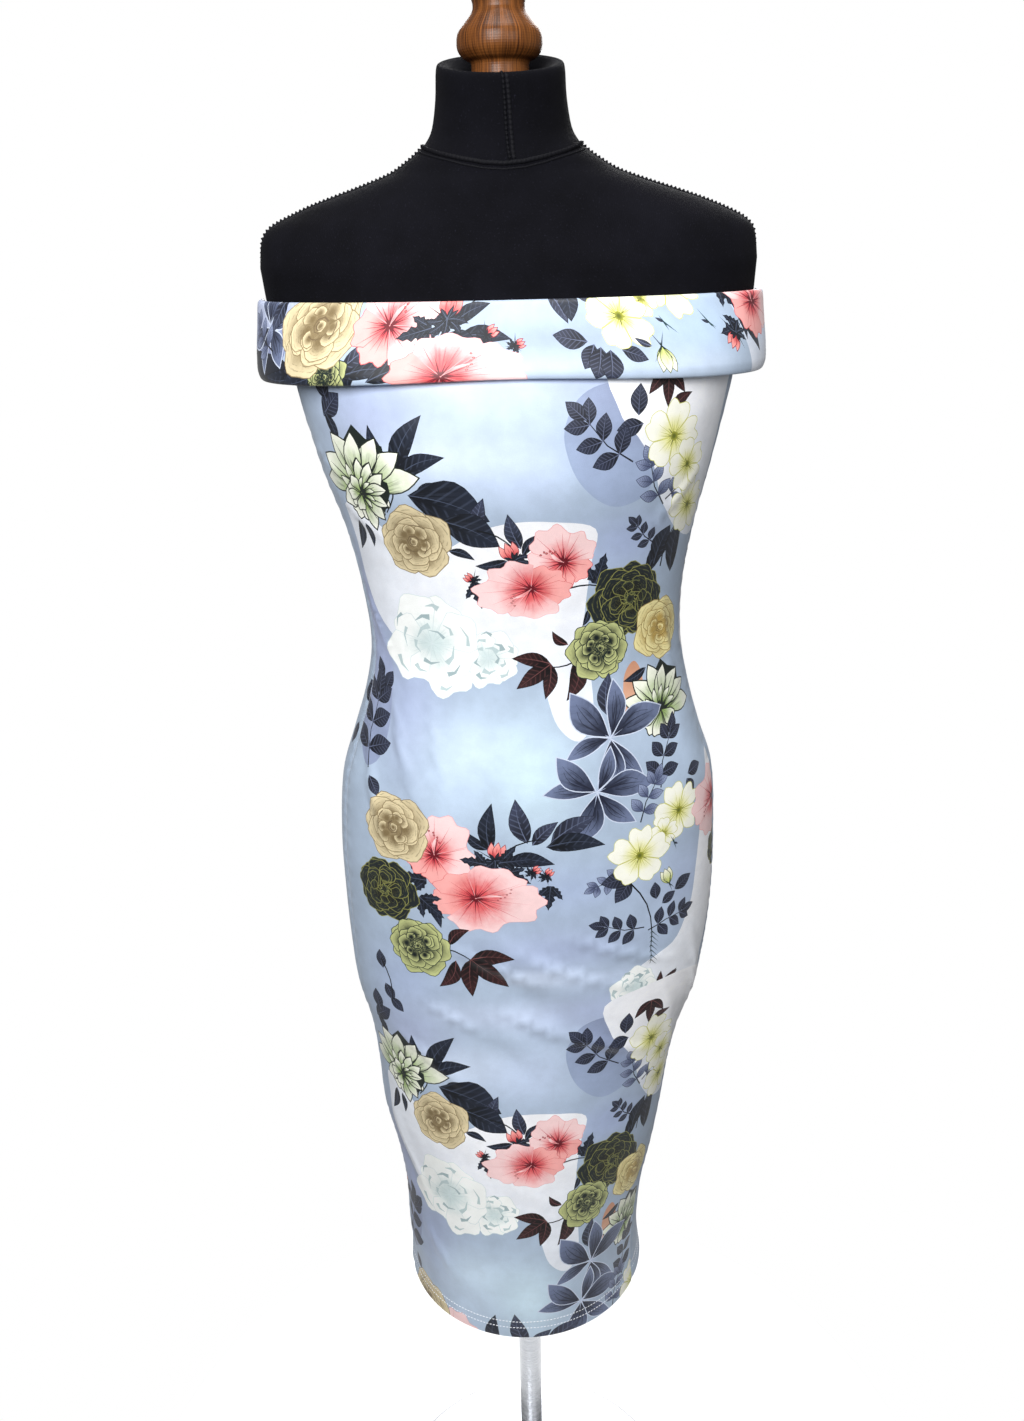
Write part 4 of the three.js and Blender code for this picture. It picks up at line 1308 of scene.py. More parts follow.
def printed_jersey():
    """Smooth scuba jersey, whose print is mixed from the corners' colours and drawn lines"""
    g = Graph("printed_jersey")
    base, tip, mark = (g.attribute(n).outputs["Color"] for n in ("print_base", "print_tip", "print_mark"))
    lines = g.attribute("print_lines")
    streaks, contours, veins = g.split(lines.outputs["Vector"])[:3]
    phase = lines.outputs["Alpha"]
    across, along, _ = g.split(g.uv("motif"))
    cloth = g.uv("cloth")
    blot = g.noise(cloth, 90.0, 4.0, 0.6)
    length = g.math("SQRT", g.plus(g.times(across, across), g.times(along, along)))
    turn = g.math("ARCTAN2", across, g.plus(along, 0.0001))
    wash = g.plus(g.times(g.math("SUBTRACT", blot, 0.5), 0.5), length)
    colour = g.mix(g.ramp(wash, 0.12, 0.95), base, tip)
    fan = g.noise(g.join(g.times(turn, 9.0), g.times(length, 1.2), phase), 1.0, 3.0, 0.6)
    streak = g.times(g.ramp(fan, 0.52, 0.62), g.ramp(length, 0.78, 0.3))
    ring_at = g.plus(g.times(length, 44.0), g.times(g.sine(turn, 5.0), 1.4))
    ring = g.ramp(g.math("SINE", g.plus(ring_at, g.times(blot, 9.0))), 0.55, 0.95)
    gaps = g.noise(g.join(g.times(turn, 3.0), g.times(length, 6.0), phase), 1.0, 2.0)
    contour = g.times(ring, g.ramp(gaps, 0.42, 0.6))
    slant = g.math("SUBTRACT", along, g.times(g.math("ABSOLUTE", across), 0.8))
    rib = g.ramp(g.sine(slant, 46.0), 0.5, 0.95)
    vein = g.times(rib, g.ramp(g.math("ABSOLUTE", across), 0.01, 0.04))
    drawn = g.plus(g.times(streak, streaks), g.times(contour, contours))
    drawn = g.math("MINIMUM", g.plus(drawn, g.times(vein, veins)), 1.0)
    colour = g.mix(drawn, colour, mark)
    mottle = g.ramp(g.noise(cloth, 38.0, 5.0, 0.65), 0.3, 0.7, 0.93, 1.05)
    grain = g.ramp(g.noise(cloth, 1500.0, 1.0), 0.3, 0.7, 0.965, 1.03)
    tone = g.times(mottle, grain)
    colour = g.mix(1.0, colour, g.join(tone, tone, tone), "MULTIPLY")
    u, v, _ = g.split(cloth)
    knit = g.times(g.sine(u, 5200.0), g.sine(v, 6400.0))
    sag = g.bump(g.noise(cloth, 16.0, 2.0), 0.25, 0.0012)
    return g.surface({
        "Base Color": colour,
        "Normal": g.bump(knit, 0.12, 0.0001, sag),
        "Roughness": g.ramp(g.noise(cloth, 60.0, 2.0), 0.2, 0.8, 0.4, 0.5),
        "Specular IOR Level": 0.42,
        "Sheen Weight": 0.12,
        "Sheen Roughness": 0.45,
    })


def black_jersey():
    """Matt fine knit that covers the form"""
    g = Graph("black_jersey")
    place = g.object_place()
    x, y, z = g.split(place)
    around = g.math("ARCTAN2", x, g.times(y, -1.0))
    knit = g.times(g.sine(around, 640.0), g.sine(z, 4200.0))
    lint = g.ramp(g.noise(place, 900.0, 2.0), 0.62, 0.8, 0.0, 0.5)
    worn = g.ramp(g.noise(place, 14.0, 4.0, 0.6), 0.3, 0.75)
    colour = g.mix(worn, screen(8, 8, 12), screen(15, 15, 21))
    return g.surface({
        "Base Color": g.mix(lint, colour, screen(40, 40, 52)),
        "Roughness": g.ramp(knit, -1.0, 1.0, 0.78, 0.92),
        "Normal": g.bump(knit, 0.3, 0.0002, g.bump(g.noise(place, 60.0, 3.0), 0.2, 0.0006)),
        "Specular IOR Level": 0.05,
        "Sheen Weight": 0.012,
        "Sheen Roughness": 0.5,
    })


def black_thread():
    """Twisted black thread of the form's seams"""
    g = Graph("black_thread")
    twist = g.sine(g.split(g.object_place())[2], 9000.0)
    return g.surface({
        "Base Color": g.mix(g.ramp(twist, -1, 1), screen(6, 6, 9), screen(16, 16, 22)),
        "Roughness": g.ramp(twist, -1.0, 1.0, 0.6, 0.8),
        "Specular IOR Level": 0.12,
    })


def hem_thread():
    """Pale twisted thread of the hem"""
    g = Graph("hem_thread")
    twist = g.noise(g.object_place(), 2400.0, 2.0)
    return g.surface({
        "Base Color": g.mix(g.ramp(twist, 0.3, 0.7), screen(226, 232, 246), screen(252, 253, 255)),
        "Roughness": g.ramp(twist, 0.3, 0.7, 0.45, 0.6),
    })


def stained_wood():
    """Turned wood with a worn glossy stain: grain up its length and darker rings where it was turned"""
    g = Graph("stained_wood")
    place = g.object_place()
    x, y, z = g.split(place)
    around = g.math("ARCTAN2", x, y)
    coarse = g.noise(g.join(g.times(around, 22.0), g.times(z, 16.0), 0.0), 1.0, 4.0, 0.6)
    fine = g.noise(g.join(g.times(around, 90.0), g.times(z, 40.0), 3.0), 1.0, 3.0, 0.6)
    light = g.ramp(g.noise(place, 30.0, 3.0), 0.35, 0.7)
    colour = g.mix(g.ramp(coarse, 0.38, 0.64), screen(58, 29, 10), screen(132, 78, 34))
    colour = g.mix(g.ramp(fine, 0.48, 0.66, 0.0, 0.75), colour, screen(52, 28, 14))
    return g.surface({
        "Base Color": g.mix(g.times(light, 0.22), colour, screen(168, 108, 58)),
        "Roughness": g.ramp(fine, 0.3, 0.7, 0.3, 0.48),
        "Normal": g.bump(g.plus(g.sine(z, 3600.0), fine), 0.15, 0.0002),
        "Coat Weight": 0.12,
        "Coat Roughness": 0.2,
        "Specular IOR Level": 0.2,
    })


def satin_steel():
    """Brushed steel, with its brushing round the turned parts"""
    g = Graph("satin_steel")
    place = g.object_place()
    x, y, z = g.split(place)
    radius = g.math("SQRT", g.plus(g.times(x, x), g.times(y, y)))
    brushed = g.noise(g.join(g.times(radius, 1800.0), 0.0, g.times(z, 1800.0)), 1.0, 3.0)
    cloud = g.noise(place, 12.0, 3.0)
    colour = g.mix(g.ramp(brushed, 0.3, 0.7), screen(176, 179, 184), screen(206, 208, 212))
    return g.surface({
        "Base Color": g.mix(g.ramp(cloud, 0.4, 0.8, 0.0, 0.3), colour, screen(150, 152, 158)),
        "Roughness": g.ramp(brushed, 0.3, 0.7, 0.24, 0.36),
        "Normal": g.bump(brushed, 0.1, 0.0001),
        "Metallic": 1.0,
    })


def floor_paint():
    """Matt white paint of the studio floor"""
    g = Graph("floor_paint")
    grain = g.noise(g.object_place(), 3.0, 3.0)
    return g.surface({
        "Base Color": g.mix(g.ramp(grain, 0.3, 0.7), screen(248, 248, 248), screen(252, 252, 252)),
        "Roughness": g.ramp(grain, 0.3, 0.7, 0.85, 0.95),
        "Specular IOR Level": 0.1,
    })


PRINTED_JERSEY = printed_jersey()
BLACK_JERSEY = black_jersey()
BLACK_THREAD = black_thread()
HEM_THREAD = hem_thread()
STAINED_WOOD = stained_wood()
SATIN_STEEL = satin_steel()


def finish_piece(made, slot, *nodes):
    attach(made, "root")
    if nodes:
        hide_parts(*nodes)
    return made


# The dress's two panels

SEAM_DIP = 0.9
SEAM_SPREAD = 2.6
PUCKER = 0.3
PUCKER_LENGTH = 13
PUCKER_INSET = 6
CREASE_DEPTH = 1.5
HEM_GROOVE = 0.25
HEM_GROOVE_Z = HEM_Z + 16
HEM_GROOVE_SPREAD = 6
SEAM_FADE = 6
PANEL_GRID = 8.0
PANEL_HEIGHTS = np.arange(HEM_Z - 8, COLLAR_TOP_Z + 4, 4.0)
HEM_STEPS, SEAM_STEPS, TOP_STEPS = 90, 170, 110
SEAM_ROW_INSETS = (1.2, 2.6, 4.4)
SEAM_ROW_HEIGHTS = np.arange(HEM_Z + 3, UNDERARM_Z - 3, 4.5)


class Panel:
    """A panel between the two side seams: its flat outline and its place on the body"""

    def __init__(self, behind):
        self.behind = behind
        self.middle = 180 if behind else 0
        self.unroller = Unroller(dress_point, self.middle, PANEL_HEIGHTS)
        self.low = self.seam_distance(PANEL_HEIGHTS, True)
        self.high = self.seam_distance(PANEL_HEIGHTS, False)

    def seam_angle(self, z, first):
        section = DRESS.at(z)
        if self.behind:
            return section[..., RIGHT] if first else section[..., LEFT] + 360
        return section[..., LEFT] if first else section[..., RIGHT]

    def seam_distance(self, z, first):
        inset = SEAM_GAP / 2 if first else -SEAM_GAP / 2
        return arc_length(dress_point, self.middle, self.seam_angle(z, first), z) + inset

    def loop(self):
        """The panel's outline, counter-clockwise: hem, right-hand seam, top edge, left-hand seam"""
        hem = np.linspace(self.seam_distance(HEM_Z, True), self.seam_distance(HEM_Z, False), HEM_STEPS)
        up = np.linspace(HEM_Z, UNDERARM_Z, SEAM_STEPS)
        corner = float(UNDERARM_Z)
        turns = np.linspace(self.seam_angle(corner, False), self.seam_angle(corner, True), TOP_STEPS)
        section = DRESS.at(corner)
        tops = panel_top(turns, section[LEFT], section[RIGHT])
        return closed_run(
            (hem, float(HEM_Z)),
            (self.seam_distance(up, False), up),
            (arc_length(dress_point, self.middle, turns, tops), tops),
            (self.seam_distance(up, True)[::-1], up[::-1]),
        )

    def extra_points(self):
        """Rows of points just inside the seams, so that their groove has a shape"""
        rows = []
        for inset in SEAM_ROW_INSETS:
            rows.append(np.stack([self.seam_distance(SEAM_ROW_HEIGHTS, True) + inset, SEAM_ROW_HEIGHTS], -1))
            rows.append(np.stack([self.seam_distance(SEAM_ROW_HEIGHTS, False) - inset, SEAM_ROW_HEIGHTS], -1))
        return np.concatenate(rows)

    def relief(self, u, z, angle):
        """How far the cloth stands out at each place: folds, creases, and the grooves of its seams and hem"""
        rise = fold_rise(angle, z, FOLD_ROWS) + CREASE_DEPTH * fold_rise(angle, z, CREASE_ROWS)
        low, high = (np.interp(z, PANEL_HEIGHTS, seam) for seam in (self.low, self.high))
        from_seam = np.maximum(np.minimum(u - low, high - u), 0)
        below_arm = np.clip((UNDERARM_Z + SEAM_FADE - z) / SEAM_FADE, 0, 1)
        dip = -SEAM_DIP * np.exp(-((from_seam / SEAM_SPREAD) ** 2))
        wave = PUCKER * np.sin(z * 2 * np.pi / PUCKER_LENGTH)
        pucker = wave * np.exp(-((from_seam - PUCKER_INSET) / PUCKER_INSET) ** 2)
        hem = HEM_GROOVE * np.exp(-((z - HEM_GROOVE_Z) / HEM_GROOVE_SPREAD) ** 2)
        return rise + (dip + pucker) * below_arm - hem

    def place(self, flat, side):
        u, z = flat[:, 0], flat[:, 1]
        angle = self.unroller.angle(u, z)
        rise = self.relief(u, z, angle) - (CLOTH_WALL if side < 0 else 0)
        return dress_point(angle, z) + outward(dress_point, angle, z) * rise[:, None]


def build_panel(name, behind, artwork):
    panel = Panel(behind)
    # the spots carry painted sheen highlights as well as tones; the back panel takes them mirrored, half a
    # repeat up
    tone_and_sheen_spots = PRINT_TONE_AND_SHEEN_SPOTS
    if behind:
        tone_and_sheen_spots = [(-x, y + PRINT_REPEAT / 2, *spot) for x, y, *spot in PRINT_TONE_AND_SHEEN_SPOTS]
    made = cloth_piece(name, panel.loop(), panel.place, artwork, tone_and_sheen_spots, PRINT_REPEAT, PANEL_GRID,
                       panel.extra_points(), PRINTED_JERSEY)
    return finish_piece(made, "printed_jersey", "back_panel" if behind else "front_panel"), panel


def join_prints(parts):
    whole = Print()
    for part in parts:
        whole.outlines += part.outlines
        whole.looks += part.looks
        whole.roots += part.roots
    return whole


repeat = draw_print(PRINT_PATCHES, PRINT_MOTIFS)
front_art = join_prints([repeat, repeat.copy(False, 0, -PRINT_REPEAT)])
half_drop = PRINT_REPEAT / 2
side_sprays = draw_print([], SIDE_MOTIFS)
back_art = join_prints([repeat.copy(True, 0, half_drop - k * PRINT_REPEAT) for k in range(3)]
                       + [side_sprays.copy(False, 0, -k * PRINT_REPEAT) for k in range(2)])
dress_front, front_cut = build_panel("dress_front", False, front_art)
dress_back, back_cut = build_panel("dress_back", True, back_art)


# The collar


def collar_base(angle, z):
    """The surface that the collar hangs on, as wide as the shoulder caps all the way down"""
    section = DRESS.at(z)
    section[..., HALF] = COLLAR_HALF_WIDTH
    section[..., LEAN] = DRESS_ROWS[-1][LEAN]
    return section_point(section, angle, z)


COLLAR_REFERENCE_Z = 1430
COLLAR_GRID = 6.0
COLLAR_TURN_STEPS = 401
COLLAR_PROFILE_STEPS = 8
COLLAR_ALONG_STEPS, COLLAR_ACROSS_STEPS = 110, 60
RIPPLE_FROM_FOLD = 10
RIPPLE_END, RIPPLE_FADE = 56, 6
COLLAR_RIPPLES = [
    # along the fold, below the fold, half sizes, and how far the outer layer stands out
    (-150, -30, 40, 20, 1.0),
    (-96, -12, 26, 12, -0.7),
    (-40, -36, 50, 12, 0.8),
    (20, -14, 46, 10, -0.7),
    (70, -34, 34, 14, 0.9),
    (120, -10, 26, 12, -0.6),
    (150, -34, 34, 18, 1.1),
    (196, -20, 22, 22, -0.8),
    (-200, -14, 22, 18, -0.8),
    (-224, -36, 18, 16, 1.0),
    (226, -38, 18, 16, 1.0),
]


def run_lengths(points):
    """The distance along a run of points to each of them"""
    return np.concatenate([[0], np.cumsum(np.linalg.norm(np.diff(points, axis=0), axis=-1))])


class Collar:
    """Half of the collar: its flat strip, from the hidden inner edge over the fold to the hidden facing"""

    def __init__(self, behind):
        middle = 180 if behind else 0
        self.turns = middle + np.linspace(-100, 100, COLLAR_TURN_STEPS)
        lengths = run_lengths(collar_base(self.turns, np.full(COLLAR_TURN_STEPS, float(COLLAR_REFERENCE_Z))))
        self.lengths = lengths - lengths[COLLAR_TURN_STEPS // 2]
        self.reach = float(np.interp(middle + COLLAR_SEAM_ANGLE, self.turns, self.lengths))
        self.profile = smooth_path(COLLAR_PROFILE, COLLAR_PROFILE_STEPS)
        run = run_lengths(self.profile)
        self.below = run - run[COLLAR_FOLD_POINT * COLLAR_PROFILE_STEPS]
        along = np.gradient(self.profile, axis=0)
        along /= np.linalg.norm(along, axis=-1, keepdims=True)
        self.aside = np.stack([along[:, 1], -along[:, 0]], -1)

    def loop(self):
        reach = self.reach - SEAM_GAP / 2
        low, high = -self.below[-1], -self.below[0]
        across = np.linspace(-reach, reach, COLLAR_ALONG_STEPS)
        up = np.linspace(low, high, COLLAR_ACROSS_STEPS)
        return closed_run((across, low), (reach, up), (across[::-1], high), (-reach, up[::-1]))

    def rows(self):
        """Heights where the cloth turns sharply, so that no triangle cuts a fold's corner"""
        return [float(-b) for b in self.below[::COLLAR_PROFILE_STEPS // 2][1:-1]]

    def place(self, flat, side):
        u, below = flat[:, 0], -flat[:, 1]
        angle = np.interp(u, self.lengths, self.turns)
        offset, drop = (np.interp(below, self.below, self.profile[:, k]) for k in (0, 1))
        aside_offset, aside_drop = (np.interp(below, self.below, self.aside[:, k]) for k in (0, 1))
        on_outer = np.clip(below / RIPPLE_FROM_FOLD, 0, 1) * np.clip((RIPPLE_END - below) / RIPPLE_FADE, 0, 1)
        ripple = np.zeros(len(u))
        for x, y, across, up, rise in COLLAR_RIPPLES:
            ripple += rise * np.exp(-(((u - x) / across) ** 2) - ((below + y) / up) ** 2)
        ahead = np.cos(angle * RAD)
        middle = np.where(ahead > 0, COLLAR_DROP_AT_FRONT, COLLAR_DROP_AT_BACK)
        stretch = COLLAR_DROP_AT_SIDES + (middle - COLLAR_DROP_AT_SIDES) * ahead**2
        half_wall = COLLAR_WALL / 2 * side
        side_offset = offset + aside_offset * half_wall + ripple * on_outer
        side_drop = drop + aside_drop * half_wall
        deep = np.maximum(side_drop - COLLAR_STRETCH_FROM, 0)
        z = COLLAR_TOP_Z - back_dip(angle) - side_drop + deep - deep * stretch
        level = outward(collar_base, angle, z)
        level[:, 2] = 0
        return collar_base(angle, z) + unit(level) * side_offset[:, None]


def build_collar(name, behind, artwork):
    collar = Collar(behind)
    # the collar's spots, with their painted highlights along the roll, turned over for the back half
    tone_and_sheen_spots = [(-x if behind else x, y, a, b, c, s) for x, y, a, b, c, s in COLLAR_TONE_AND_SHEEN_SPOTS]
    made = cloth_piece(name, collar.loop(), collar.place, artwork, tone_and_sheen_spots, 0, COLLAR_GRID, np.zeros((0, 2)),
                       PRINTED_JERSEY, collar.rows())
    return finish_piece(made, "printed_jersey", "collar_back" if behind else "collar_front"), collar


collar_art = draw_print(COLLAR_PATCHES, COLLAR_MOTIFS)
collar_front, collar_cut = build_collar("fold_front", False, collar_art)
collar_back, _ = build_collar("fold_back", True, collar_art.copy(True, 40, 0))


# The form


JUST_SHORT_OF_BACK = 179.99


def even_directions(count):
    """Directions all the way round from behind, closer where the section turns most"""
    def to_ellipse(angle):
        return math.atan2(math.sin(angle * RAD) / SECTION_FLATNESS, math.cos(angle * RAD))
    first, last = to_ellipse(-JUST_SHORT_OF_BACK), to_ellipse(JUST_SHORT_OF_BACK)
    at = first + (last - first) * np.linspace(0, 1, count, endpoint=False)
    return np.arctan2(np.sin(at) * SECTION_FLATNESS, np.cos(at)) / RAD


def closed_loft(name, rings, material, sharp=40):
    """A closed body through rings of points, lowest first; a ring of one place closes an end"""
    count = len(rings[0])
    points = np.concatenate(rings)
    faces = []
    for j in range(len(rings) - 1):
        for i in range(count):
            k = (i + 1) % count
            faces.append((j * count + i, j * count + k, (j + 1) * count + k, (j + 1) * count + i))
    ends = np.array([rings[0].mean(0), rings[-1].mean(0)])
    points = np.concatenate([points, ends])
    low, high, last = len(points) - 2, len(points) - 1, (len(rings) - 1) * count
    for i in range(count):
        k = (i + 1) % count
        faces.append((low, k, i))
        faces.append((high, last + i, last + k))
    made = make_mesh(name, points, faces, None, material)
    made.data.set_sharp_from_angle(angle=sharp * RAD)
    return made


FORM_COLUMNS = 150
FORM_SIDE_HEIGHTS = np.arange(914, COLLAR_TOP_Z - 2, 12.0)
TOP_ROW_STEPS = 4
FORM_TOP_ROWS = smooth_path(SHOULDER_ROWS, TOP_ROW_STEPS)
SEAT_LIP = 1.5
LIP_SHARES = (0.55, 0.45)


def form_side(turn, z, extra=0.0):
    """The torso inside the dress, drawn in from it by the cloth's wall and its ease"""
    level = outward(dress_point, turn, z)
    level[..., 2] = 0
    inward = CLOTH_WALL + DRESS.at(z)[..., EASE] + extra
    return dress_point(turn, z) - unit(level) * inward[..., None]


def form_top(turn, row):
    """The shoulders and neck at a direction and a row of their table, -1 being the torso at the collar"""
    turn, row = np.broadcast_arrays(np.asarray(turn, float), np.asarray(row, float))
    at = np.clip(row, 0, None) * TOP_ROW_STEPS
    steps = np.arange(len(FORM_TOP_ROWS))
    section = np.stack([np.interp(at, steps, column) for column in FORM_TOP_ROWS.T], -1)
    point = section_point(section, turn, section[..., Z])
    point[..., 2] += point[..., 1] * math.tan(NECK_TILT * RAD) * section[..., TILT]
    below = np.clip(-row, 0, 1)[..., None]
    return point * (1 - below) + form_side(turn, np.full(turn.shape, float(COLLAR_TOP_Z))) * below


def form_rings():
    """The torso's sections from its bottom edge up, then the shoulders, the neck and the finial's seat"""
    turns = even_directions(FORM_COLUMNS)
    level = np.ones(len(turns))
    rings = [form_side(turns, (FORM_BOTTOM_Z + up) * level, extra) for up, extra in FORM_EDGE]
    rings += [form_side(turns, z * level) for z in FORM_SIDE_HEIGHTS]
    rings += [form_top(turns, row) for row in np.arange(-1, len(SHOULDER_ROWS) - 0.9, 1 / TOP_ROW_STEPS)]
    seat = np.stack([NECK_SEAT_RADIUS * np.sin(turns * RAD), -NECK_SEAT_RADIUS * np.cos(turns * RAD),
                     NECK_SEAT_Z * level], -1)
    lip = rings[-1] * LIP_SHARES[0] + seat * LIP_SHARES[1]
    lip[:, 2] += SEAT_LIP
    return [*rings, lip, seat]


SEAM_STITCH = 3.4
SEAM_POINTS = 300
SEAM_SWELL = 0.42
SEAM_END = 3
SEAM_SECTION = ((-1, -0.6), (-0.75, 0.5), (0, 1), (0.75, 0.5), (1, -0.6))


def seam_ridge(turns, rows, width, height):
    """Points and faces of a sewn ridge along the shoulders or neck, with the turns of its overlock"""
    steps = np.linspace(0, 1, SEAM_POINTS)
    knots = np.linspace(0, 1, len(turns))
    turn, row = np.interp(steps, knots, turns), np.interp(steps, knots, rows)
    points = form_top(turn, row)
    sideways = form_top(turn + 1, row) - form_top(turn - 1, row)
    upward = form_top(turn, row + 0.2) - form_top(turn, row - 0.2)
    normal = unit(np.cross(sideways, upward))
    aside = unit(np.cross(normal, np.gradient(points, axis=0)))
    run = run_lengths(points)
    swell = (1 + SEAM_SWELL * np.sin(run * 2 * np.pi / SEAM_STITCH))[:, None]
    ends = np.minimum(1, np.minimum(run, run[-1] - run) / SEAM_END)[:, None]
    runs = []
    for across, up in SEAM_SECTION:
        lift = up * height * ends * (swell if up > 0 else 1)
        runs.append(points + aside * across * width * ends + normal * lift)
    count = len(steps)
    made = np.concatenate(runs)
    faces = []
    sides = len(SEAM_SECTION)
    for s in range(sides):
        other = (s + 1) % sides
        for i in range(count - 1):
            faces.append((s * count + i, other * count + i, other * count + i + 1, s * count + i + 1))
    faces.append(tuple(s * count for s in range(sides))[::-1])
    faces.append(tuple(s * count + count - 1 for s in range(sides)))
    return made, faces


# Seams of the form: directions, rows of the shoulder table, half width and height
NECK_BASE_TURNS = list(range(-180, 181, 15))
NECK_BASE_ROWS = [
    8.5 + 2.2 * math.sin(turn * RAD) ** 2 if abs(turn) <= 90 else 10.7 - 0.7 * math.cos(turn * RAD) ** 2
    for turn in NECK_BASE_TURNS
]
FORM_SEAMS = [
    (NECK_BASE_TURNS, NECK_BASE_ROWS, 2.0, 1.8),
    (NECK_BASE_TURNS, [row - 0.5 for row in NECK_BASE_ROWS], 1.0, 0.7),
    ([0, 3, 4, 5], [15.6, 13, 11, 8.6], 1.3, 1.5),
    ([4, 7, 8, 8], [15.0, 13, 11, 8.6], 1.7, 0.8),
    ([-94, -92, -91, -91, -91, -92], [10.7, 8, 6, 4, 2.4, -0.9], 2.1, 1.9),
    ([94, 92, 91, 91, 91, 92], [10.7, 8, 6, 4, 2.4, -0.9], 2.1, 1.9),
    ([180, 180, 180], [15.6, 12, 10.1], 1.3, 1.1),
]


def build_form_seams():
    """All the form's sewn ridges as one piece"""
    points, faces = [], []
    for turns, rows, width, height in FORM_SEAMS:
        start = sum(len(part) for part in points)
        made, ridge = seam_ridge(turns, rows, width, height)
        points.append(made)
        faces += [tuple(start + v for v in face) for face in ridge]
    made = make_mesh("form_seams", np.concatenate(points), faces, None, BLACK_THREAD)
    return finish_piece(made, "black_jersey")


build_form_seams()
form = closed_loft("form_cover", form_rings(), BLACK_JERSEY)
finish_piece(form, "black_jersey", "form_body")


# Turned pieces


def turned(name, profile, material, columns=72, sharp=35):
    """A turned piece from its radius and height pairs, bottom to top, with a point at each end"""
    around = np.linspace(0, 2 * math.pi, columns, endpoint=False)
    rings = [np.stack(np.broadcast_arrays(r * np.cos(around), r * np.sin(around), float(z)), -1)
             for r, z in profile[1:-1]]
    return closed_loft(name, rings, material, sharp=sharp)


POLE_FOOT_Z = 20
POLE_CHAMFER = 0.6


def pole_profile():
    low, high = POLE_FOOT_Z + SEAM_GAP, FORM_BOTTOM_Z - SEAM_GAP
    narrow = POLE_RADIUS - POLE_CHAMFER
    middle = [(POLE_RADIUS, z) for z in np.linspace(80, 840, 12)]
    return [(0, low), (narrow, low), (POLE_RADIUS, low + POLE_CHAMFER), *middle,
            (POLE_RADIUS, high - POLE_CHAMFER), (narrow, high), (0, high)]


def finial_profile():
    seat = NECK_SEAT_Z + SEAM_GAP
    path = smooth_path(FINIAL_PROFILE[1:-1], 5)
    return [(0, seat), *[(r, seat + up) for r, up in path], (0, seat + FINIAL_PROFILE[-1][1])]


finish_piece(turned("turned_finial", finial_profile(), STAINED_WOOD), "stained_wood", "finial")
finish_piece(turned("stand_pole", pole_profile(), SATIN_STEEL), "satin_steel", "pole")
finish_piece(turned("stand_base", BASE_PROFILE, SATIN_STEEL, 120), "satin_steel", "base")


# Hem stitching

HEM_STITCH_ROWS = (12.0, 19.5)
STITCH_LENGTH = 2.9
STITCH_GAP = 0.6
STITCH_WIDTH = 1.3
STITCH_HEIGHT = 0.5
STITCH_MARGIN = 2
STITCH_CROWN = (0.3, 0.7)
STITCH_END_DROP = 0.2
STITCH_SINK = 0.1


def hem_stitches(cut, name):
    """Two rows of joined dashes of thread above the hem"""
    first_at = cut.seam_distance(HEM_Z, True) + STITCH_MARGIN
    last_at = cut.seam_distance(HEM_Z, False) - STITCH_MARGIN - STITCH_LENGTH
    starts = np.arange(first_at, last_at, STITCH_LENGTH + STITCH_GAP)
    start, up, end, aside = np.meshgrid(starts, HEM_STITCH_ROWS, (0, *STITCH_CROWN, 1), (-1, 0, 1),
                                        indexing="ij")
    flat = np.stack([start + STITCH_LENGTH * end, HEM_Z + up + aside * STITCH_WIDTH / 2], -1).reshape(-1, 2)
    crown = np.where((end > 0) & (end < 1), STITCH_HEIGHT, -STITCH_END_DROP) * (aside == 0) - STITCH_SINK
    points = cut.place(flat, 1) + place_normals(cut.place, flat, 1) * crown.reshape(-1, 1)
    faces = []
    for first in range(0, len(points), 12):
        for s in range(0, 9, 3):
            a = first + s
            faces += [(a, a + 3, a + 4, a + 1), (a + 1, a + 4, a + 5, a + 2), (a + 2, a + 5, a + 3, a)]
        faces += [(first, first + 1, first + 2), (first + 9, first + 11, first + 10)]
    made = make_mesh(name, points, faces, None, HEM_THREAD)
    return finish_piece(made, "printed_jersey")


front_stitches = hem_stitches(front_cut, "hem_stitches_front")
back_stitches = hem_stitches(back_cut, "hem_stitches_back")


# Each piece's flat outline, worked out again and not used


def declare_sheet(cut):
    loop = cut.loop()


declare_sheet(front_cut)
declare_sheet(back_cut)
declare_sheet(collar_cut)
declare_sheet(collar_cut)


# Camera, light and floor


WORLD_LIGHT = 0.15
SUN_STRENGTH, SUN_SPREAD = 2.1, 40
FLOOR_RADIUS = 500
FLOOR_POINTS = 96
FLOOR_Z = -0.5
CAMERA_PLACE = (-0.003, -1.020, 1.500)
CAMERA_PITCH = 22
CAMERA_ROLL = 1.4
CAMERA_LENS = 30.4
CAMERA_SENSOR = 36

# Lights: name, place, target, size and power
LIGHTS = [
    ("key", (-0.4, -1.35, 2.1), (0, 0, 1.3), 0.9, 33),
    ("fill", (0.9, -1.5, 2.0), (0, 0, 1.3), 0.9, 7),
    ("back", (0.3, 2.2, 2.2), (0, 0, 1.1), 1.6, 45),
]


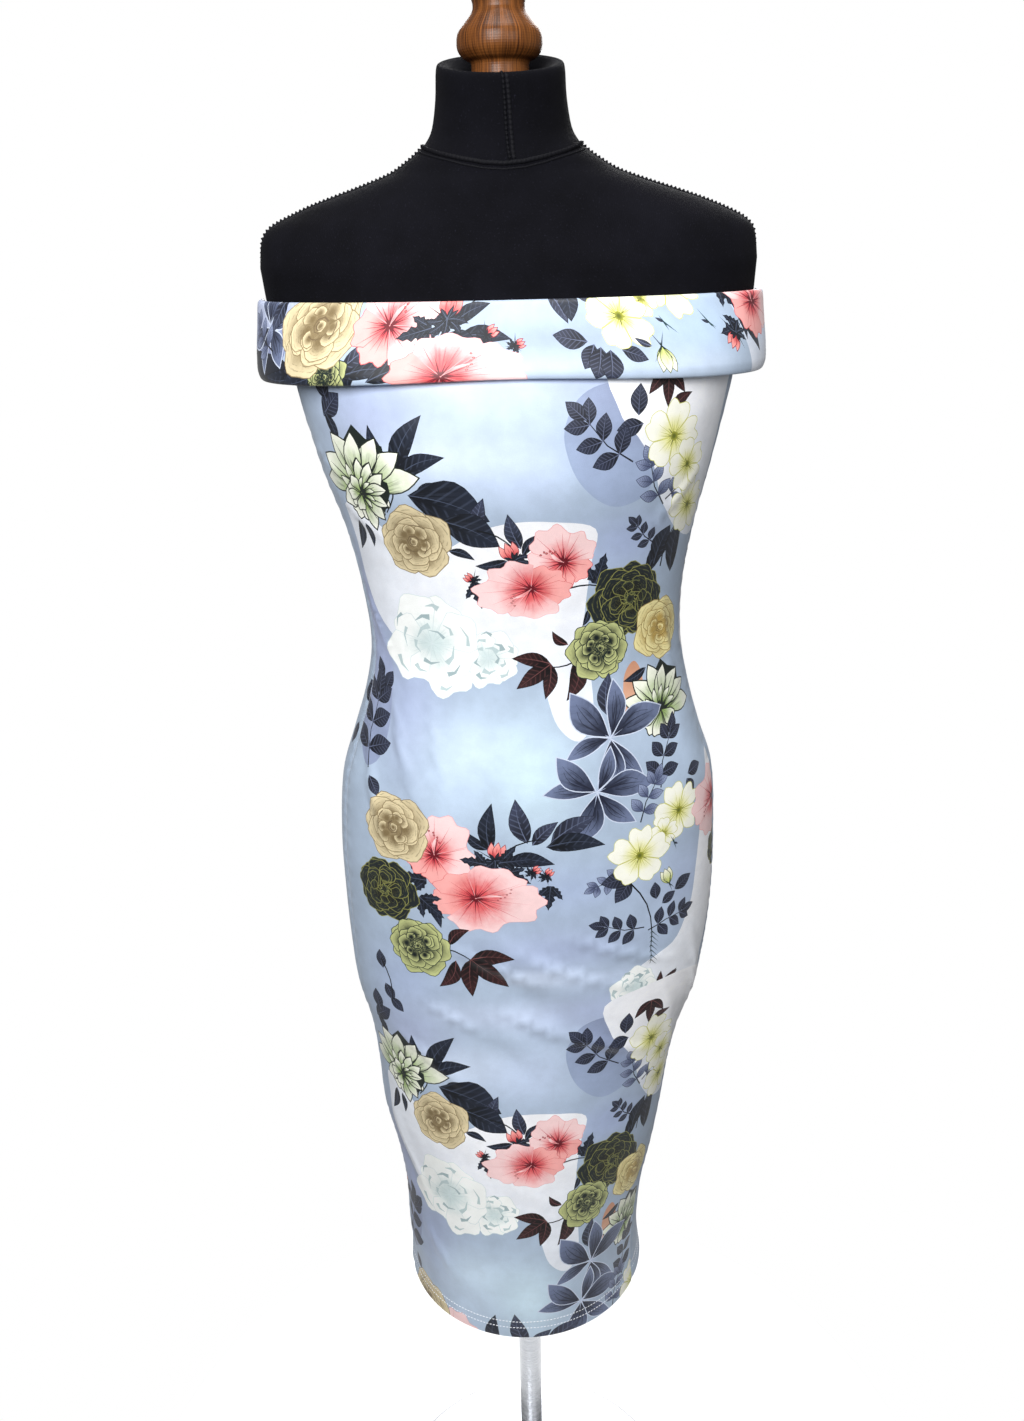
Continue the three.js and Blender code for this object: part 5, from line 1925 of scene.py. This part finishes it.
def add_camera():
    """The photograph's view: from a little above the collar, looking down, and turned slightly"""
    pitch, roll = CAMERA_PITCH * RAD, CAMERA_ROLL * RAD
    right_level = Vector((1, 0, 0))
    down_level = Vector((0, -math.sin(pitch), -math.cos(pitch)))
    ahead = Vector((0, math.cos(pitch), -math.sin(pitch)))
    right = math.cos(roll) * right_level + math.sin(roll) * down_level
    up = math.sin(roll) * right_level - math.cos(roll) * down_level
    data = bpy.data.cameras.new("camera")
    data.lens = CAMERA_LENS
    data.sensor_width = CAMERA_SENSOR
    camera = bpy.data.objects.new("camera", data)
    turn = Matrix((right, up, -ahead)).transposed()
    camera.matrix_world = Matrix.Translation(CAMERA_PLACE) @ turn.to_4x4()
    bpy.context.scene.collection.objects.link(camera)
    bpy.context.scene.camera = camera


def add_light(name, place, target, size, power):
    data = bpy.data.lights.new(name, "AREA")
    data.size = size
    data.energy = power
    light = bpy.data.objects.new(name, data)
    light.location = place
    light.rotation_euler = (Vector(target) - Vector(place)).to_track_quat("-Z", "Y").to_euler()
    bpy.context.scene.collection.objects.link(light)


def add_world():
    """A plain white surround, seen brighter than it lights, as in a picture with a burnt-out background"""
    world = bpy.data.worlds.new("studio")
    world.use_nodes = True
    tree = world.node_tree
    seen = tree.nodes.new("ShaderNodeLightPath").outputs["Is Camera Ray"]
    strength = tree.nodes.new("ShaderNodeMapRange")
    strength.inputs["To Min"].default_value = WORLD_LIGHT
    strength.inputs["To Max"].default_value = 1.0
    tree.links.new(seen, strength.inputs["Value"])
    background = tree.nodes["Background"]
    background.inputs["Color"].default_value = (1, 1, 1, 1)
    tree.links.new(strength.outputs[0], background.inputs["Strength"])
    bpy.context.scene.world = world


def add_sun():
    data = bpy.data.lights.new("ceiling", "SUN")
    data.energy = SUN_STRENGTH
    data.angle = SUN_SPREAD * RAD
    light = bpy.data.objects.new("ceiling", data)
    light.location = (0, 0, 4)
    bpy.context.scene.collection.objects.link(light)


def add_surroundings():
    add_world()
    around = np.linspace(0, 2 * math.pi, FLOOR_POINTS, endpoint=False)
    points = np.stack([FLOOR_RADIUS * np.cos(around), FLOOR_RADIUS * np.sin(around),
                       np.full(FLOOR_POINTS, FLOOR_Z)], -1)
    floor = make_mesh("floor", points, [list(range(FLOOR_POINTS))], None, floor_paint(), smooth=False)
    add_sun()
    for row in LIGHTS:
        add_light(*row)


add_camera()
add_surroundings()
bpy.context.scene.view_settings.view_transform = "Standard"


def plain(box):
    return [[float(value) for value in corner] for corner in box]
